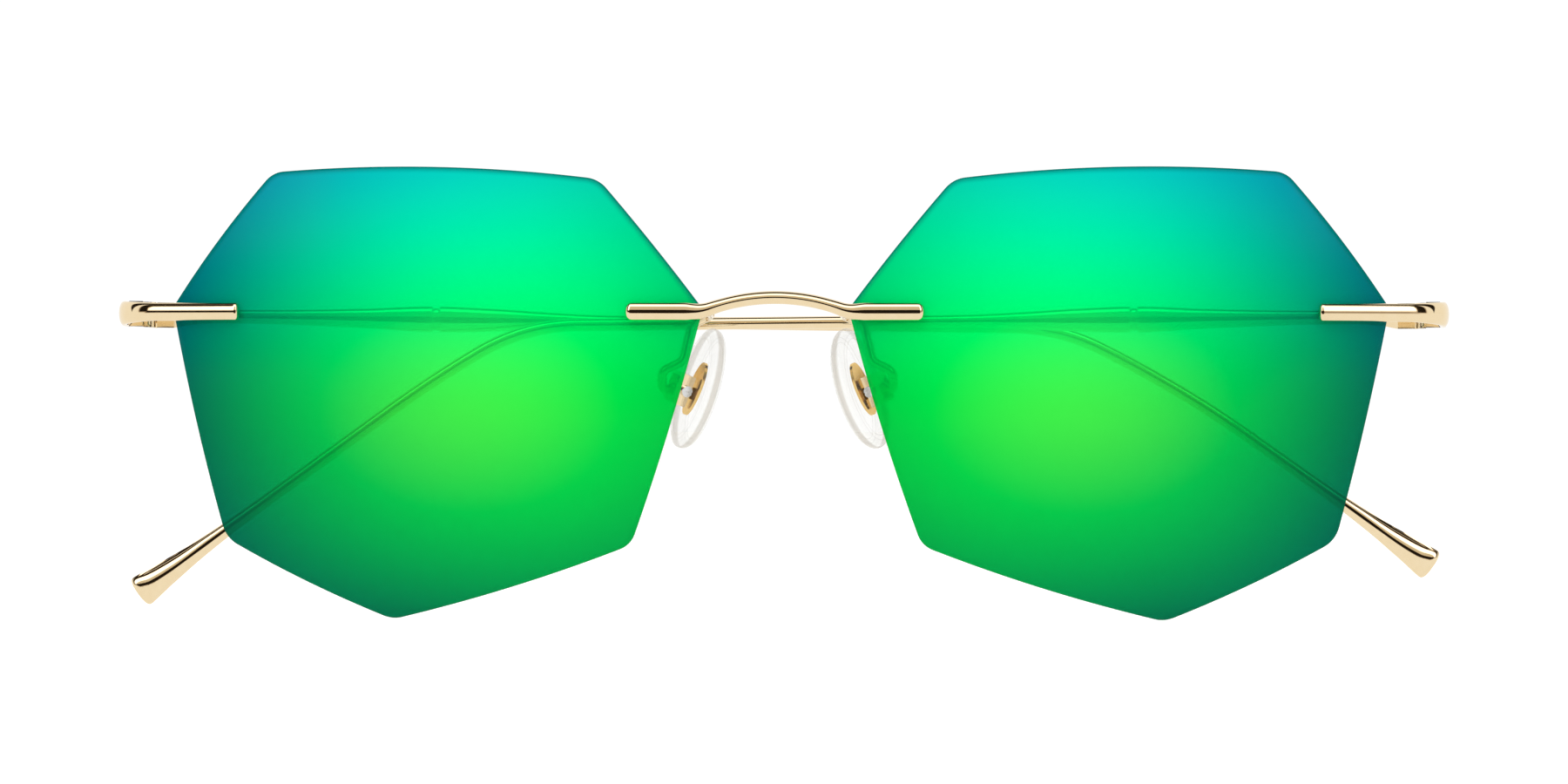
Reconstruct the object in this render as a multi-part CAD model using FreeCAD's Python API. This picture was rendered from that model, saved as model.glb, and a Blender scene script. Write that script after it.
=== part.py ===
import FreeCAD, Part
import math
import os

# Rimless sunglasses with seven-sided lenses, drawn folded, in millimetres.
# +X is the wearer's left, +Y points from the lenses to the wearer's face, +Z is up.
# Drawing zero is the mid-plane, the lens apex plane and the height of the bridge bars.
# Every shape is moved at the end so that the origin is the nose saddle between the pads.

Vec = FreeCAD.Vector
X_AXIS = Vec(1, 0, 0)
Y_AXIS = Vec(0, 1, 0)
Z_AXIS = Vec(0, 0, 1)
ZERO = Vec(0, 0, 0)

NOSE_SADDLE = Vec(0, 8.0, -8.0)

# lenses: a spherical shell, cut to a seven-sided outline with slightly bowed sides
LENS_BASE_RADIUS = 131.0
LENS_THICKNESS = 2.0
LENS_APEX_X = 25.0
LENS_EDGE_BEVEL = 0.15
LENS_MIDDLE = Vec(37.0, 0, -6.0)
LENS_BLANK_FRONT = -1.0
LENS_BLANK_DEPTH = 16.0
# corner of the sharp outline (x, z), its rounding, and the bow of the side that follows it
LENS_OUTLINE = [
    ((7.8, 0.3), 1.0, 0.17),
    ((19.0, 14.2), 3.4, 0.91),
    ((54.4, 15.0), 3.0, 0.35),
    ((65.5, 0.5), 1.0, 0.24),
    ((59.8, -24.4), 3.5, 0.37),
    ((41.5, -33.1), 3.6, 0.49),
    ((15.6, -25.0), 2.8, 0.33),
]

# the bars on the lens fronts, their pins and the sleeves that the pins press into
BAR_HEIGHT = 1.95
BAR_DEPTH = 1.2
BAR_CORNER = 0.56
BAR_LENS_GAP = 0.03
# distance from the end of a bar, and the shares of its depth and height that are left there
BAR_END = [(0.0, 0.5, 0.45), (0.12, 0.76, 0.72), (0.35, 0.95, 0.92), (0.65, 1.0, 1.0)]
PIN_RADIUS = 0.5
PIN_SPACING = 3.4
PIN_PROUD = 0.35
SLEEVE_RADIUS = 0.8
SLEEVE_WEB = 0.45
SLEEVE_WEB_GAP = 0.06

# bridge
BRIDGE_MOUNT_X = 12.2
BRIDGE_BAR_END_X = 16.0
BRIDGE_SPAN_HALF = 8.7
BRIDGE_RISE = 1.52
BRIDGE_CROWN_RADIUS = 20.8
BRIDGE_WIRE = 1.4
BRIDGE_CORNER = 0.66
# distance from the mid-plane, depth, height
BRIDGE_STATIONS = [
    (0.0, BRIDGE_WIRE, BRIDGE_WIRE),
    (2.0, BRIDGE_WIRE, BRIDGE_WIRE),
    (4.0, BRIDGE_WIRE, BRIDGE_WIRE),
    (5.5, BRIDGE_WIRE, BRIDGE_WIRE),
    (6.8, 1.38, 1.46),
    (7.8, 1.34, 1.6),
    (BRIDGE_SPAN_HALF, 1.26, 1.75),
    (9.8, BAR_DEPTH, BAR_HEIGHT),
]

# end pieces, from the outer lens bars back to the hinges
END_MOUNT_X = 61.6
END_BAR_INNER_X = 57.95
END_OUTER_X = 71.4
END_BEND_RADIUS = 5.2
END_BEND_STEPS = 8
PANTOSCOPIC = 1.6
HINGE_LEAN = 0.62

# hinges, in their own frame: X outwards, Y along the open temple, Z along the screw
HINGE_Y = 15.0
HINGE_TO_TEMPLE = 1.85
HINGE_HEIGHT = 2.75
HINGE_DEPTH = 1.2
HINGE_CORNER = 0.5
BUTT_GAP = 0.05
BARREL_RADIUS = 1.05
LEAF_START = 1.15
LEAF_END = 3.0
LEAF_REACH = 1.5
LEAF_OVERLAP = 0.2
KNUCKLE_GAP = 0.1
MIDDLE_KNUCKLE = 1.05
SCREW_RADIUS = 0.55
SCREW_CLEARANCE = 0.03
SCREW_HEAD_RADIUS = 0.85
SCREW_HEAD_HEIGHT = 0.35
SCREW_HEAD_CLEARANCE = 0.02
SCREW_SLOT_TURN = 30.0
WASHER_OUTER = 0.95
WASHER_INNER = 0.6
WASHER_THICKNESS = 0.07

# temples; the two are adjusted slightly differently, and the right one lies behind the left
TEMPLE_LENGTH = {"left": 149.1, "right": 147.9}
TEMPLE_FOLD = {"left": 90.0, "right": 87.0}
TEMPLE_CORNER = 0.66
# where the ear bend starts, then the radius and angle of its two arcs
EAR_BEND_FROM = {"left": 92.0, "right": 94.6}
EAR_BENDS = {"left": [(22.0, 30.1), (125.0, 5.3)], "right": [(22.0, 25.7), (125.0, 8.9)]}
EAR_BEND_STEPS = (9, 3)
COLLAR_AT = 31.2
COLLAR_LENGTH = 0.65
COLLAR_HEIGHT = 2.45
COLLAR_DEPTH = 1.25
FLARE_HEIGHT = 2.85
FLARE_DEPTH = 1.55
WIRE = 1.36
# distance from the hinge, depth across, height
TEMPLE_FRONT_STATIONS = [
    (0.05, 1.2, 2.75),
    (2.6, 1.2, 2.7),
    (4.8, 1.15, 1.95),
    (8.0, 1.1, 1.5),
    (14.0, 1.15, 1.62),
    (24.0, 1.35, 2.2),
    (COLLAR_AT, FLARE_DEPTH, FLARE_HEIGHT),
]
TEMPLE_FLARE_STATIONS = [
    (0.0, FLARE_DEPTH, FLARE_HEIGHT),
    (6.0, 1.48, 2.5),
    (12.0, 1.4, 1.85),
    (18.0, WIRE, 1.42),
    (24.0, WIRE, WIRE),
]
# distance before the end, depth across, height
TIP_STATIONS = [
    (18.0, WIRE, WIRE),
    (13.0, 1.3, 1.48),
    (8.3, 1.22, 1.9),
    (3.5, 1.15, 2.8),
    (0.6, 1.1, 3.5),
    (0.15, 0.85, 3.25),
    (0.0, 0.5, 2.75),
]

# nose pads and their holders, each in its own frame: X away from the nose, Y front to back, Z along the pad
PAD_SPLAY = 30.0
PAD_CENTRE = Vec(9.12, 8.0, -8.1)
PAD_LEAN = 17.0
HOLDER_CENTRE = Vec(8.95, 8.0, -8.89)
HOLDER_LEAN = 22.0
PAD_HALF_HEIGHT = 6.7
PAD_HALF_FRONT = 4.3
PAD_HALF_BACK = 3.6
PAD_CONTACT_X = -1.2
PAD_BACK_X = 0.55
PAD_EDGE_ROUND = 0.75
INSERT_FACE_X = 0.22
INSERT_BACK_X = 0.57
INSERT_RISE = 0.57
INSERT_HALF_HEIGHT = 3.0
INSERT_HALF_WIDTH = 1.3
LUG_HALF_WIDTH = 0.5
LUG_RADIUS = 0.65
PAD_PIVOT_X = 1.8
BOX_START_X = 1.25
BOX_WALL_X = 2.65
BOX_END_X = 3.1
BOX_HALF_WIDTH = 1.05
BOX_SLOT_HALF = 0.55
BOX_HALF_HEIGHT = 1.7
BOX_CORNER = 0.4
PAD_SCREW_RADIUS = 0.38
PAD_SCREW_CLEARANCE = 0.04
PAD_SCREW_HEAD_RADIUS = 0.6
PAD_SCREW_HEAD = 0.35
SLOT_WIDTH = 0.18
SLOT_DEPTH = 0.15
ARM_RADIUS = 0.5
ARM_ROUTE = [
    Vec(7.2, 1.0, 0.1),
    Vec(7.2, 4.75, -0.4),
    Vec(9.3, 5.3, -1.4),
    Vec(10.2, 5.1, -5.3),
    Vec(12.4, 4.8, -6.3),
    Vec(12.45, 5.6, -8.6),
]
ARM_BENDS = [1.1, 1.2, 1.2, 1.0, 0.75]
ARM_BOX_OVERLAP = 0.2

# drawing tolerances
SECTION_CORNER_LIMIT = 0.96
TANGENT_STEP = 0.05
SAME_POINT = 0.01
PARALLEL = 0.9
SHORTEST_RIM_EDGE = 0.5


def rounded_section(centre, across, up, depth, height, corner):
    """A closed rounded rectangle about a point, depth along across and height along up."""
    a = depth / 2
    b = height / 2
    r = min(corner, SECTION_CORNER_LIMIT * a, SECTION_CORNER_LIMIT * b)
    k = r * (1 - math.sqrt(0.5))

    def at(u, v):
        return centre + across * u + up * v

    edges = []
    for turn in range(4):
        su = 1 if turn in (0, 3) else -1
        sv = 1 if turn in (0, 1) else -1
        side_first = at(su * a, sv * (b - r))
        side_last = at(su * (a - r), sv * b)
        middle = at(su * (a - k), sv * (b - k))
        if turn in (1, 3):
            side_first, side_last = side_last, side_first
        if edges:
            edges.append(Part.makeLine(edges[-1].Vertexes[-1].Point, side_first))
        edges.append(Part.Arc(side_first, middle, side_last).toShape())
    edges.append(Part.makeLine(edges[-1].Vertexes[-1].Point, at(a, b - r)))
    return Part.Wire(edges)


def section_across(point, tangent, depth, height, corner):
    """A rounded rectangle square to a path, with its height as near to +Z as the path allows."""
    along = Vec(tangent).normalize()
    across = along.cross(Z_AXIS).normalize()
    up = across.cross(along)
    return rounded_section(point, across, up, depth, height, corner)


def loft(sections):
    return Part.makeLoft(sections, True, True)


def box_between(low, high):
    size = high - low
    return Part.makeBox(size.x, size.y, size.z, low)


def cylinder(radius, start, direction, length):
    return Part.makeCylinder(radius, length, start, direction)


def bowed_edge(start, end, bow, inside):
    """An arc between two corners that stands out by bow, away from the point inside."""
    middle = (start + end) * 0.5
    along = end - start
    out = Vec(-along.z, 0, along.x).normalize()
    if out.dot(middle - inside) < 0:
        out = out * -1
    return Part.Arc(start, middle + out * bow, end).toShape()


def lens_mount(x):
    """Local frame on the lens front at the height of the bars: X along the lens, Y into it."""
    turn = math.asin((x - LENS_APEX_X) / LENS_BASE_RADIUS)
    y = LENS_BASE_RADIUS * (1 - math.cos(turn))
    return FreeCAD.Placement(Vec(x, y, 0), FreeCAD.Rotation(Z_AXIS, math.degrees(turn)))


def placed(shape, placement):
    moved = shape.copy()
    moved.Placement = placement.multiply(moved.Placement)
    return moved


def pins(radius, y_start, y_end):
    """Two round posts side by side, through the lens from front to back."""
    length = y_end - y_start
    both = [cylinder(radius, Vec(s * PIN_SPACING / 2, y_start, 0), Y_AXIS, length) for s in (-1, 1)]
    return both[0].fuse(both[1])


def lens():
    corners = [Vec(x, LENS_BLANK_FRONT, z) for (x, z), _, _ in LENS_OUTLINE]
    edges = []
    for i, (_, _, bow) in enumerate(LENS_OUTLINE):
        edges.append(bowed_edge(corners[i], corners[(i + 1) % len(corners)], bow, LENS_MIDDLE))
    prism = Part.Face(Part.Wire(edges)).extrude(Y_AXIS * LENS_BLANK_DEPTH)
    for corner, (_, radius, _) in zip(corners, LENS_OUTLINE):
        upright = [
            e for e in prism.Edges
            if e.Curve.TypeId == "Part::GeomLine"
            and abs(e.Vertexes[0].Point.x - corner.x) < SAME_POINT
            and abs(e.Vertexes[0].Point.z - corner.z) < SAME_POINT
        ]
        prism = prism.makeFillet(radius, upright)
    centre = Vec(LENS_APEX_X, LENS_BASE_RADIUS, 0)
    blank = prism.common(Part.makeSphere(LENS_BASE_RADIUS, centre))
    blank = blank.cut(Part.makeSphere(LENS_BASE_RADIUS - LENS_THICKNESS, centre))
    rim = [e for e in blank.Edges if e.Length > SHORTEST_RIM_EDGE and not is_corner_edge(e)]
    blank = blank.makeChamfer(LENS_EDGE_BEVEL, rim)
    for x in (BRIDGE_MOUNT_X, END_MOUNT_X):
        holes = pins(SLEEVE_RADIUS, -LENS_THICKNESS, 2 * LENS_THICKNESS)
        blank = blank.cut(placed(holes, lens_mount(x)))
    return blank


def is_corner_edge(edge):
    """True for the short straight edges that run through the lens at its corners."""
    through = abs(edge.tangentAt(edge.FirstParameter).y) > PARALLEL
    return through and edge.Length < 2 * LENS_THICKNESS


def sleeve():
    """Two clear tubes in the lens, joined by a web behind it."""
    back = LENS_THICKNESS + SLEEVE_WEB_GAP
    tubes = pins(SLEEVE_RADIUS, 0.0, back + SLEEVE_WEB / 2)
    half = PIN_SPACING / 2
    web = box_between(Vec(-half, back, -SLEEVE_RADIUS), Vec(half, back + SLEEVE_WEB, SLEEVE_RADIUS))
    for s in (-1, 1):
        web = web.fuse(cylinder(SLEEVE_RADIUS, Vec(s * half, back, 0), Y_AXIS, SLEEVE_WEB))
    bores = pins(PIN_RADIUS, -back, 2 * back)
    return tubes.fuse(web).removeSplitter().cut(bores)


def bar_pins():
    """The two pins of a bar, from its middle to just behind the sleeves."""
    return pins(PIN_RADIUS, -BAR_DEPTH / 2, LENS_THICKNESS + SLEEVE_WEB_GAP + SLEEVE_WEB + PIN_PROUD)


def bar_centre(mount_x, x):
    """Middle of a bar on the lens front at a given x, and the direction that it runs in."""
    mount = lens_mount(mount_x)
    along = mount.Rotation.multVec(X_AXIS)
    offset = mount.Rotation.multVec(Vec(0, -BAR_LENS_GAP - BAR_DEPTH / 2, 0))
    start = mount.Base + offset
    return start + along * ((x - start.x) / along.x), along


def bridge_height(x):
    """The arch: a crown arc that meets the bars through two smaller arcs."""
    half_turn = 2 * math.atan(BRIDGE_RISE / BRIDGE_SPAN_HALF)
    both_radii = BRIDGE_SPAN_HALF / math.sin(half_turn)
    foot_radius = both_radii - BRIDGE_CROWN_RADIUS
    x = abs(x)
    if x >= BRIDGE_SPAN_HALF:
        return 0.0
    if x <= BRIDGE_CROWN_RADIUS * math.sin(half_turn):
        return BRIDGE_RISE - BRIDGE_CROWN_RADIUS + math.sqrt(BRIDGE_CROWN_RADIUS**2 - x**2)
    return foot_radius - math.sqrt(foot_radius**2 - (BRIDGE_SPAN_HALF - x) ** 2)


def bridge_point(x):
    """Middle of the bridge wire: straight on the lenses, bowed gently between them."""
    foot, along = bar_centre(BRIDGE_MOUNT_X, BRIDGE_SPAN_HALF)
    if abs(x) >= BRIDGE_SPAN_HALF:
        point, _ = bar_centre(BRIDGE_MOUNT_X, abs(x))
        return Vec(x, point.y, 0)
    slope = along.y / along.x
    y = foot.y - slope * (BRIDGE_SPAN_HALF**2 - x**2) / (2 * BRIDGE_SPAN_HALF)
    return Vec(x, y, bridge_height(x))


def bridge_bar():
    end = BRIDGE_BAR_END_X
    half = list(BRIDGE_STATIONS)
    half += [(end - d, BAR_DEPTH * depth, BAR_HEIGHT * height) for d, depth, height in reversed(BAR_END)]
    stations = [(-x, depth, height) for x, depth, height in reversed(half[1:])] + half
    sections = []
    for x, depth, height in stations:
        tangent = bridge_point(x + TANGENT_STEP) - bridge_point(x - TANGENT_STEP)
        sections.append(section_across(bridge_point(x), tangent, depth, height, BRIDGE_CORNER))
    bar = loft(sections)
    posts = placed(bar_pins(), lens_mount(BRIDGE_MOUNT_X))
    return bar.fuse(posts).fuse(mirrored(posts)).removeSplitter()


def end_bend():
    """Centre of the end piece's bend, the angle where it starts and its start point."""
    inner, along = bar_centre(END_MOUNT_X, END_BAR_INNER_X)
    slope = along.y / along.x
    start_angle = math.atan2(along.y, along.x)
    centre_x = END_OUTER_X - END_BEND_RADIUS
    start_x = centre_x + END_BEND_RADIUS * math.sin(start_angle)
    start_y = inner.y + (start_x - inner.x) * slope
    centre_y = start_y + END_BEND_RADIUS * math.cos(start_angle)
    return Vec(centre_x, centre_y, 0), start_angle, Vec(start_x, start_y, 0)


def hinge_placement():
    """The hinge on the +X side, leaned back, and sideways so that the folded temple falls inwards."""
    _, _, start = end_bend()
    drop = (HINGE_Y - start.y) * math.tan(math.radians(PANTOSCOPIC))
    at = Vec(END_OUTER_X - HINGE_TO_TEMPLE, HINGE_Y, -drop)
    back = FreeCAD.Rotation(X_AXIS, -PANTOSCOPIC)
    return FreeCAD.Placement(at, back.multiply(FreeCAD.Rotation(Y_AXIS, -HINGE_LEAN)))


def endpiece():
    centre, start_angle, start = end_bend()
    fall = math.tan(math.radians(PANTOSCOPIC))
    inner = END_BAR_INNER_X
    path = []
    for x, depth, height in [(inner + d, depth, height) for d, depth, height in BAR_END] + [(start.x, 1, 1)]:
        point, along = bar_centre(END_MOUNT_X, x)
        path.append((point, along, BAR_DEPTH * depth, BAR_HEIGHT * height))
    growth = (HINGE_HEIGHT - BAR_HEIGHT) / END_BEND_STEPS
    for i in range(1, END_BEND_STEPS + 1):
        angle = start_angle + (math.pi / 2 - start_angle) * i / END_BEND_STEPS
        x = centre.x + END_BEND_RADIUS * math.sin(angle)
        y = centre.y - END_BEND_RADIUS * math.cos(angle)
        point = Vec(x, y, -fall * (y - start.y))
        along = Vec(math.cos(angle), math.sin(angle), -fall * math.sin(angle))
        path.append((point, along, HINGE_DEPTH, BAR_HEIGHT + growth * i))
    hinge = hinge_placement()
    butt = hinge.multVec(Vec(HINGE_TO_TEMPLE, -BUTT_GAP, 0))
    path.append((butt, hinge.Rotation.multVec(Y_AXIS), HINGE_DEPTH, HINGE_HEIGHT))
    sections = [section_across(p, t, d, h, BAR_CORNER) for p, t, d, h in path]
    posts = placed(bar_pins(), lens_mount(END_MOUNT_X))
    return loft(sections).fuse(posts).removeSplitter()


def barrel_knuckle(low, high, side):
    """A knuckle round the screw and its web, towards the front (side -1) or the temple (+1)."""
    knuckle = cylinder(BARREL_RADIUS, Vec(0, 0, low), Z_AXIS, high - low)
    near = min(0, side * (LEAF_START + LEAF_OVERLAP))
    far = max(0, side * (LEAF_START + LEAF_OVERLAP))
    web = box_between(Vec(0, near, low), Vec(BARREL_RADIUS, far, high))
    return knuckle.fuse(web)


def leaf_plate(side):
    """The full-height plate of a leaf, soldered to the inside of its bar."""
    half = HINGE_HEIGHT / 2
    near = min(side * LEAF_START, side * LEAF_END)
    far = max(side * LEAF_START, side * LEAF_END)
    return box_between(Vec(0, near, -half), Vec(LEAF_REACH, far, half))


def front_leaf():
    half = HINGE_HEIGHT / 2
    inner = MIDDLE_KNUCKLE / 2 + KNUCKLE_GAP
    leaf = leaf_plate(-1).fuse(barrel_knuckle(inner, half, -1)).fuse(barrel_knuckle(-half, -inner, -1))
    top_bore = cylinder(SCREW_RADIUS + SCREW_HEAD_CLEARANCE, ZERO, Z_AXIS, HINGE_HEIGHT)
    thread = cylinder(SCREW_RADIUS, Z_AXIS * -HINGE_HEIGHT, Z_AXIS, HINGE_HEIGHT)
    seat_base = Vec(0, 0, half - SCREW_HEAD_HEIGHT)
    seat = cylinder(SCREW_HEAD_RADIUS + SCREW_HEAD_CLEARANCE, seat_base, Z_AXIS, HINGE_HEIGHT)
    return leaf.removeSplitter().cut(top_bore).cut(thread).cut(seat)


def temple_leaf():
    half = MIDDLE_KNUCKLE / 2
    leaf = leaf_plate(1).fuse(barrel_knuckle(-half, half, 1))
    bore = cylinder(SCREW_RADIUS + SCREW_CLEARANCE, Z_AXIS * -HINGE_HEIGHT, Z_AXIS, 2 * HINGE_HEIGHT)
    return leaf.removeSplitter().cut(bore)


def slot(at, turn, reach):
    """A screwdriver slot across a head whose outer face is at a point."""
    groove = box_between(Vec(-reach, -SLOT_WIDTH / 2, -SLOT_DEPTH), Vec(reach, SLOT_WIDTH / 2, SLOT_DEPTH))
    return placed(groove, FreeCAD.Placement(at, FreeCAD.Rotation(Z_AXIS, turn)))


def hinge_screw():
    half = HINGE_HEIGHT / 2
    head_base = half - SCREW_HEAD_HEIGHT
    shank = cylinder(SCREW_RADIUS, Vec(0, 0, -half), Z_AXIS, head_base + half)
    head = cylinder(SCREW_HEAD_RADIUS, Vec(0, 0, head_base), Z_AXIS, SCREW_HEAD_HEIGHT)
    return shank.fuse(head).cut(slot(Vec(0, 0, half), SCREW_SLOT_TURN, 2 * SCREW_HEAD_RADIUS))


def hinge_washers():
    rings = []
    for s in (-1, 1):
        middle = s * (MIDDLE_KNUCKLE + KNUCKLE_GAP) / 2
        base = Vec(0, 0, middle - WASHER_THICKNESS / 2)
        ring = cylinder(WASHER_OUTER, base, Z_AXIS, WASHER_THICKNESS)
        rings.append(ring.cut(cylinder(WASHER_INNER, base, Z_AXIS, WASHER_THICKNESS)))
    return Part.makeCompound(rings)


def temple_path(side, distance):
    """Point and direction on the open temple's middle line at a distance from the hinge."""
    straight = min(distance, EAR_BEND_FROM[side])
    point = Vec(HINGE_TO_TEMPLE, straight, 0)
    turned = 0.0
    left_over = distance - straight
    for radius, angle in EAR_BENDS[side]:
        end = turned + min(left_over / radius, math.radians(angle))
        forward = radius * (math.sin(end) - math.sin(turned))
        fall = radius * (math.cos(turned) - math.cos(end))
        point = point + Vec(0, forward, -fall)
        left_over -= radius * (end - turned)
        turned = end
    along = Vec(0, math.cos(turned), -math.sin(turned))
    return point + along * left_over, along


def temple_section(side, distance, depth, height, corner=TEMPLE_CORNER):
    point, along = temple_path(side, distance)
    return section_across(point, along, depth, height, corner)


def temple_front(side):
    sections = []
    for distance, depth, height in TEMPLE_FRONT_STATIONS:
        sections.append(temple_section(side, distance, depth, height, HINGE_CORNER))
    return loft(sections)


def temple_collar(side):
    ends = (COLLAR_AT, COLLAR_AT + COLLAR_LENGTH)
    return loft([temple_section(side, d, COLLAR_DEPTH, COLLAR_HEIGHT) for d in ends])


def temple_rear(side):
    start = COLLAR_AT + COLLAR_LENGTH
    stations = [(start + d, depth, height) for d, depth, height in TEMPLE_FLARE_STATIONS]
    at = EAR_BEND_FROM[side]
    stations.append((at, WIRE, WIRE))
    for (radius, angle), steps in zip(EAR_BENDS[side], EAR_BEND_STEPS):
        for _ in range(steps):
            at += radius * math.radians(angle) / steps
            stations.append((at, WIRE, WIRE))
    stations += [(TEMPLE_LENGTH[side] - d, depth, height) for d, depth, height in TIP_STATIONS]
    return loft([temple_section(side, *station) for station in stations])


def temple_parts(side):
    """All the pieces of one temple, folded, on the +X side of the frame."""
    hinge = hinge_placement()
    fold = FreeCAD.Placement(ZERO, FreeCAD.Rotation(Z_AXIS, TEMPLE_FOLD[side]))
    folded = hinge.multiply(fold)
    front = temple_front(side)
    pieces = {
        "temple_front": front,
        "hinge_temple_leaf": temple_leaf().cut(front),
        "temple_collar": temple_collar(side),
        "temple_rear": temple_rear(side),
    }
    return {name: placed(shape, folded) for name, shape in pieces.items()}


def leaning(centre, angle):
    """The frame of a pad or its holder: splayed open towards the face, top leaned to the nose."""
    lean = FreeCAD.Rotation(Y_AXIS, -angle)
    splay = FreeCAD.Rotation(Z_AXIS, -PAD_SPLAY)
    return FreeCAD.Placement(centre, lean.multiply(splay))


def oval_prism(half_height, half_front, half_back, x_start, x_end):
    """An upright oval, deeper on one side than the other, extruded along X."""
    top = Vec(x_start, 0, half_height)
    middle = Vec(x_start, 0, 0)
    halves = []
    for reach in (-half_front, half_back):
        oval = Part.Ellipse(top, Vec(x_start, reach, 0), middle)
        halves.append(Part.ArcOfEllipse(oval, 0, math.pi).toShape())
    return Part.Face(Part.Wire(Part.sortEdges(halves)[0])).extrude(Vec(x_end - x_start, 0, 0))


def pad_insert():
    plate = oval_prism(
        INSERT_HALF_HEIGHT, INSERT_HALF_WIDTH, INSERT_HALF_WIDTH, INSERT_FACE_X, INSERT_BACK_X
    )
    plate.translate(Z_AXIS * INSERT_RISE)
    width = 2 * LUG_HALF_WIDTH
    lug = box_between(
        Vec(INSERT_FACE_X, -LUG_HALF_WIDTH, -LUG_RADIUS), Vec(PAD_PIVOT_X, LUG_HALF_WIDTH, LUG_RADIUS)
    )
    eye_at = Vec(PAD_PIVOT_X, -LUG_HALF_WIDTH, 0)
    eye = cylinder(LUG_RADIUS, eye_at, Y_AXIS, width)
    bore = cylinder(PAD_SCREW_RADIUS + PAD_SCREW_CLEARANCE, eye_at, Y_AXIS, width)
    return plate.fuse(lug).fuse(eye).removeSplitter().cut(bore)


def nose_pad():
    """The soft body, before it is moulded on its insert."""
    body = oval_prism(PAD_HALF_HEIGHT, PAD_HALF_FRONT, PAD_HALF_BACK, PAD_CONTACT_X, PAD_BACK_X)
    rims = [e for e in body.Edges if e.Length > PAD_HALF_HEIGHT]
    return body.makeFillet(PAD_EDGE_ROUND, rims)


def pad_box():
    """The open holder on the end of the arm: two cheeks and a back wall."""
    outer = box_between(
        Vec(BOX_START_X, -BOX_HALF_WIDTH, -BOX_HALF_HEIGHT), Vec(BOX_END_X, BOX_HALF_WIDTH, BOX_HALF_HEIGHT)
    )
    corners = [e for e in outer.Edges if is_far_corner(e)]
    outer = outer.makeFillet(BOX_CORNER, corners)
    channel = box_between(
        Vec(0, -BOX_SLOT_HALF, -2 * BOX_HALF_HEIGHT), Vec(BOX_WALL_X, BOX_SLOT_HALF, 2 * BOX_HALF_HEIGHT)
    )
    bore_start = Vec(PAD_PIVOT_X, -2 * BOX_HALF_WIDTH, 0)
    bore = cylinder(PAD_SCREW_RADIUS, bore_start, Y_AXIS, 4 * BOX_HALF_WIDTH)
    return outer.cut(channel).cut(bore)


def is_far_corner(edge):
    """True for the box edges that run across its back wall, away from the pad."""
    return abs(edge.tangentAt(0).y) > PARALLEL and edge.Vertexes[0].Point.x > PAD_PIVOT_X


def pad_screw():
    face = -BOX_HALF_WIDTH
    shank = cylinder(PAD_SCREW_RADIUS, Vec(PAD_PIVOT_X, face, 0), Y_AXIS, 2 * BOX_HALF_WIDTH)
    top = face - PAD_SCREW_HEAD
    head = cylinder(PAD_SCREW_HEAD_RADIUS, Vec(PAD_PIVOT_X, top, 0), Y_AXIS, PAD_SCREW_HEAD)
    reach = 2 * PAD_SCREW_HEAD_RADIUS
    groove = box_between(
        Vec(PAD_PIVOT_X - reach, top - SLOT_DEPTH, -SLOT_WIDTH / 2),
        Vec(PAD_PIVOT_X + reach, top + SLOT_DEPTH, SLOT_WIDTH / 2),
    )
    return shank.fuse(head).cut(groove)


def bent_path(points, radii):
    """Straight runs joined by tangent arcs."""
    edges = []
    last = points[0]
    for i, radius in enumerate(radii, start=1):
        before = (points[i - 1] - points[i]).normalize()
        after = (points[i + 1] - points[i]).normalize()
        half = before.getAngle(after) / 2
        setback = radius / math.tan(half)
        first = points[i] + before * setback
        end = points[i] + after * setback
        to_centre = (before + after).normalize()
        middle = points[i] + to_centre * (radius / math.sin(half) - radius)
        edges.append(Part.makeLine(last, first))
        edges.append(Part.Arc(first, middle, end).toShape())
        last = end
    edges.append(Part.makeLine(last, points[-1]))
    return Part.Wire(edges)


def pad_arm(bar, box):
    """The wire from the bridge, round the lens edge, curling into the pad box."""
    entry = leaning(HOLDER_CENTRE, HOLDER_LEAN).multVec(Vec(BOX_END_X - ARM_BOX_OVERLAP, 0, 0))
    path = bent_path(ARM_ROUTE + [entry], ARM_BENDS)
    start_direction = ARM_ROUTE[1] - ARM_ROUTE[0]
    profile = Part.Wire(Part.makeCircle(ARM_RADIUS, ARM_ROUTE[0], start_direction))
    outside = path.makePipeShell([profile], True, False).cut(bar).cut(box)
    return max(outside.Solids, key=lambda solid: solid.Volume)


def mirrored(shape):
    return shape.mirror(ZERO, X_AXIS)


def save(node, shape):
    moved = shape.copy()
    moved.translate(NOSE_SADDLE * -1)
    moved.exportStep("parts/" + node + ".step")


def build():
    os.makedirs("parts", exist_ok=True)
    bar = bridge_bar()
    hinge = hinge_placement()
    holder_at = leaning(HOLDER_CENTRE, HOLDER_LEAN)
    insert = placed(pad_insert(), holder_at)
    end = endpiece()
    box = placed(pad_box(), holder_at)
    pieces = {
        "lens": lens(),
        "bridge_sleeve": placed(sleeve(), lens_mount(BRIDGE_MOUNT_X)),
        "endpiece_sleeve": placed(sleeve(), lens_mount(END_MOUNT_X)),
        "endpiece": end,
        "hinge_front_leaf": placed(front_leaf(), hinge).cut(end),
        "hinge_screw": placed(hinge_screw(), hinge),
        "hinge_washers": placed(hinge_washers(), hinge),
        "pad_box": box,
        "pad_arm": pad_arm(bar, box),
        "pad_screw": placed(pad_screw(), holder_at),
        "nose_pad": placed(nose_pad(), leaning(PAD_CENTRE, PAD_LEAN)).cut(insert),
        "pad_insert": insert,
    }
    save("bridge_bar", bar)
    for name, shape in pieces.items():
        save(name + "_left", shape)
        save(name + "_right", mirrored(shape))
    for name, shape in temple_parts("left").items():
        save(name + "_left", shape)
    for name, shape in temple_parts("right").items():
        save(name + "_right", mirrored(shape))


build()
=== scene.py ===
import math

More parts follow.
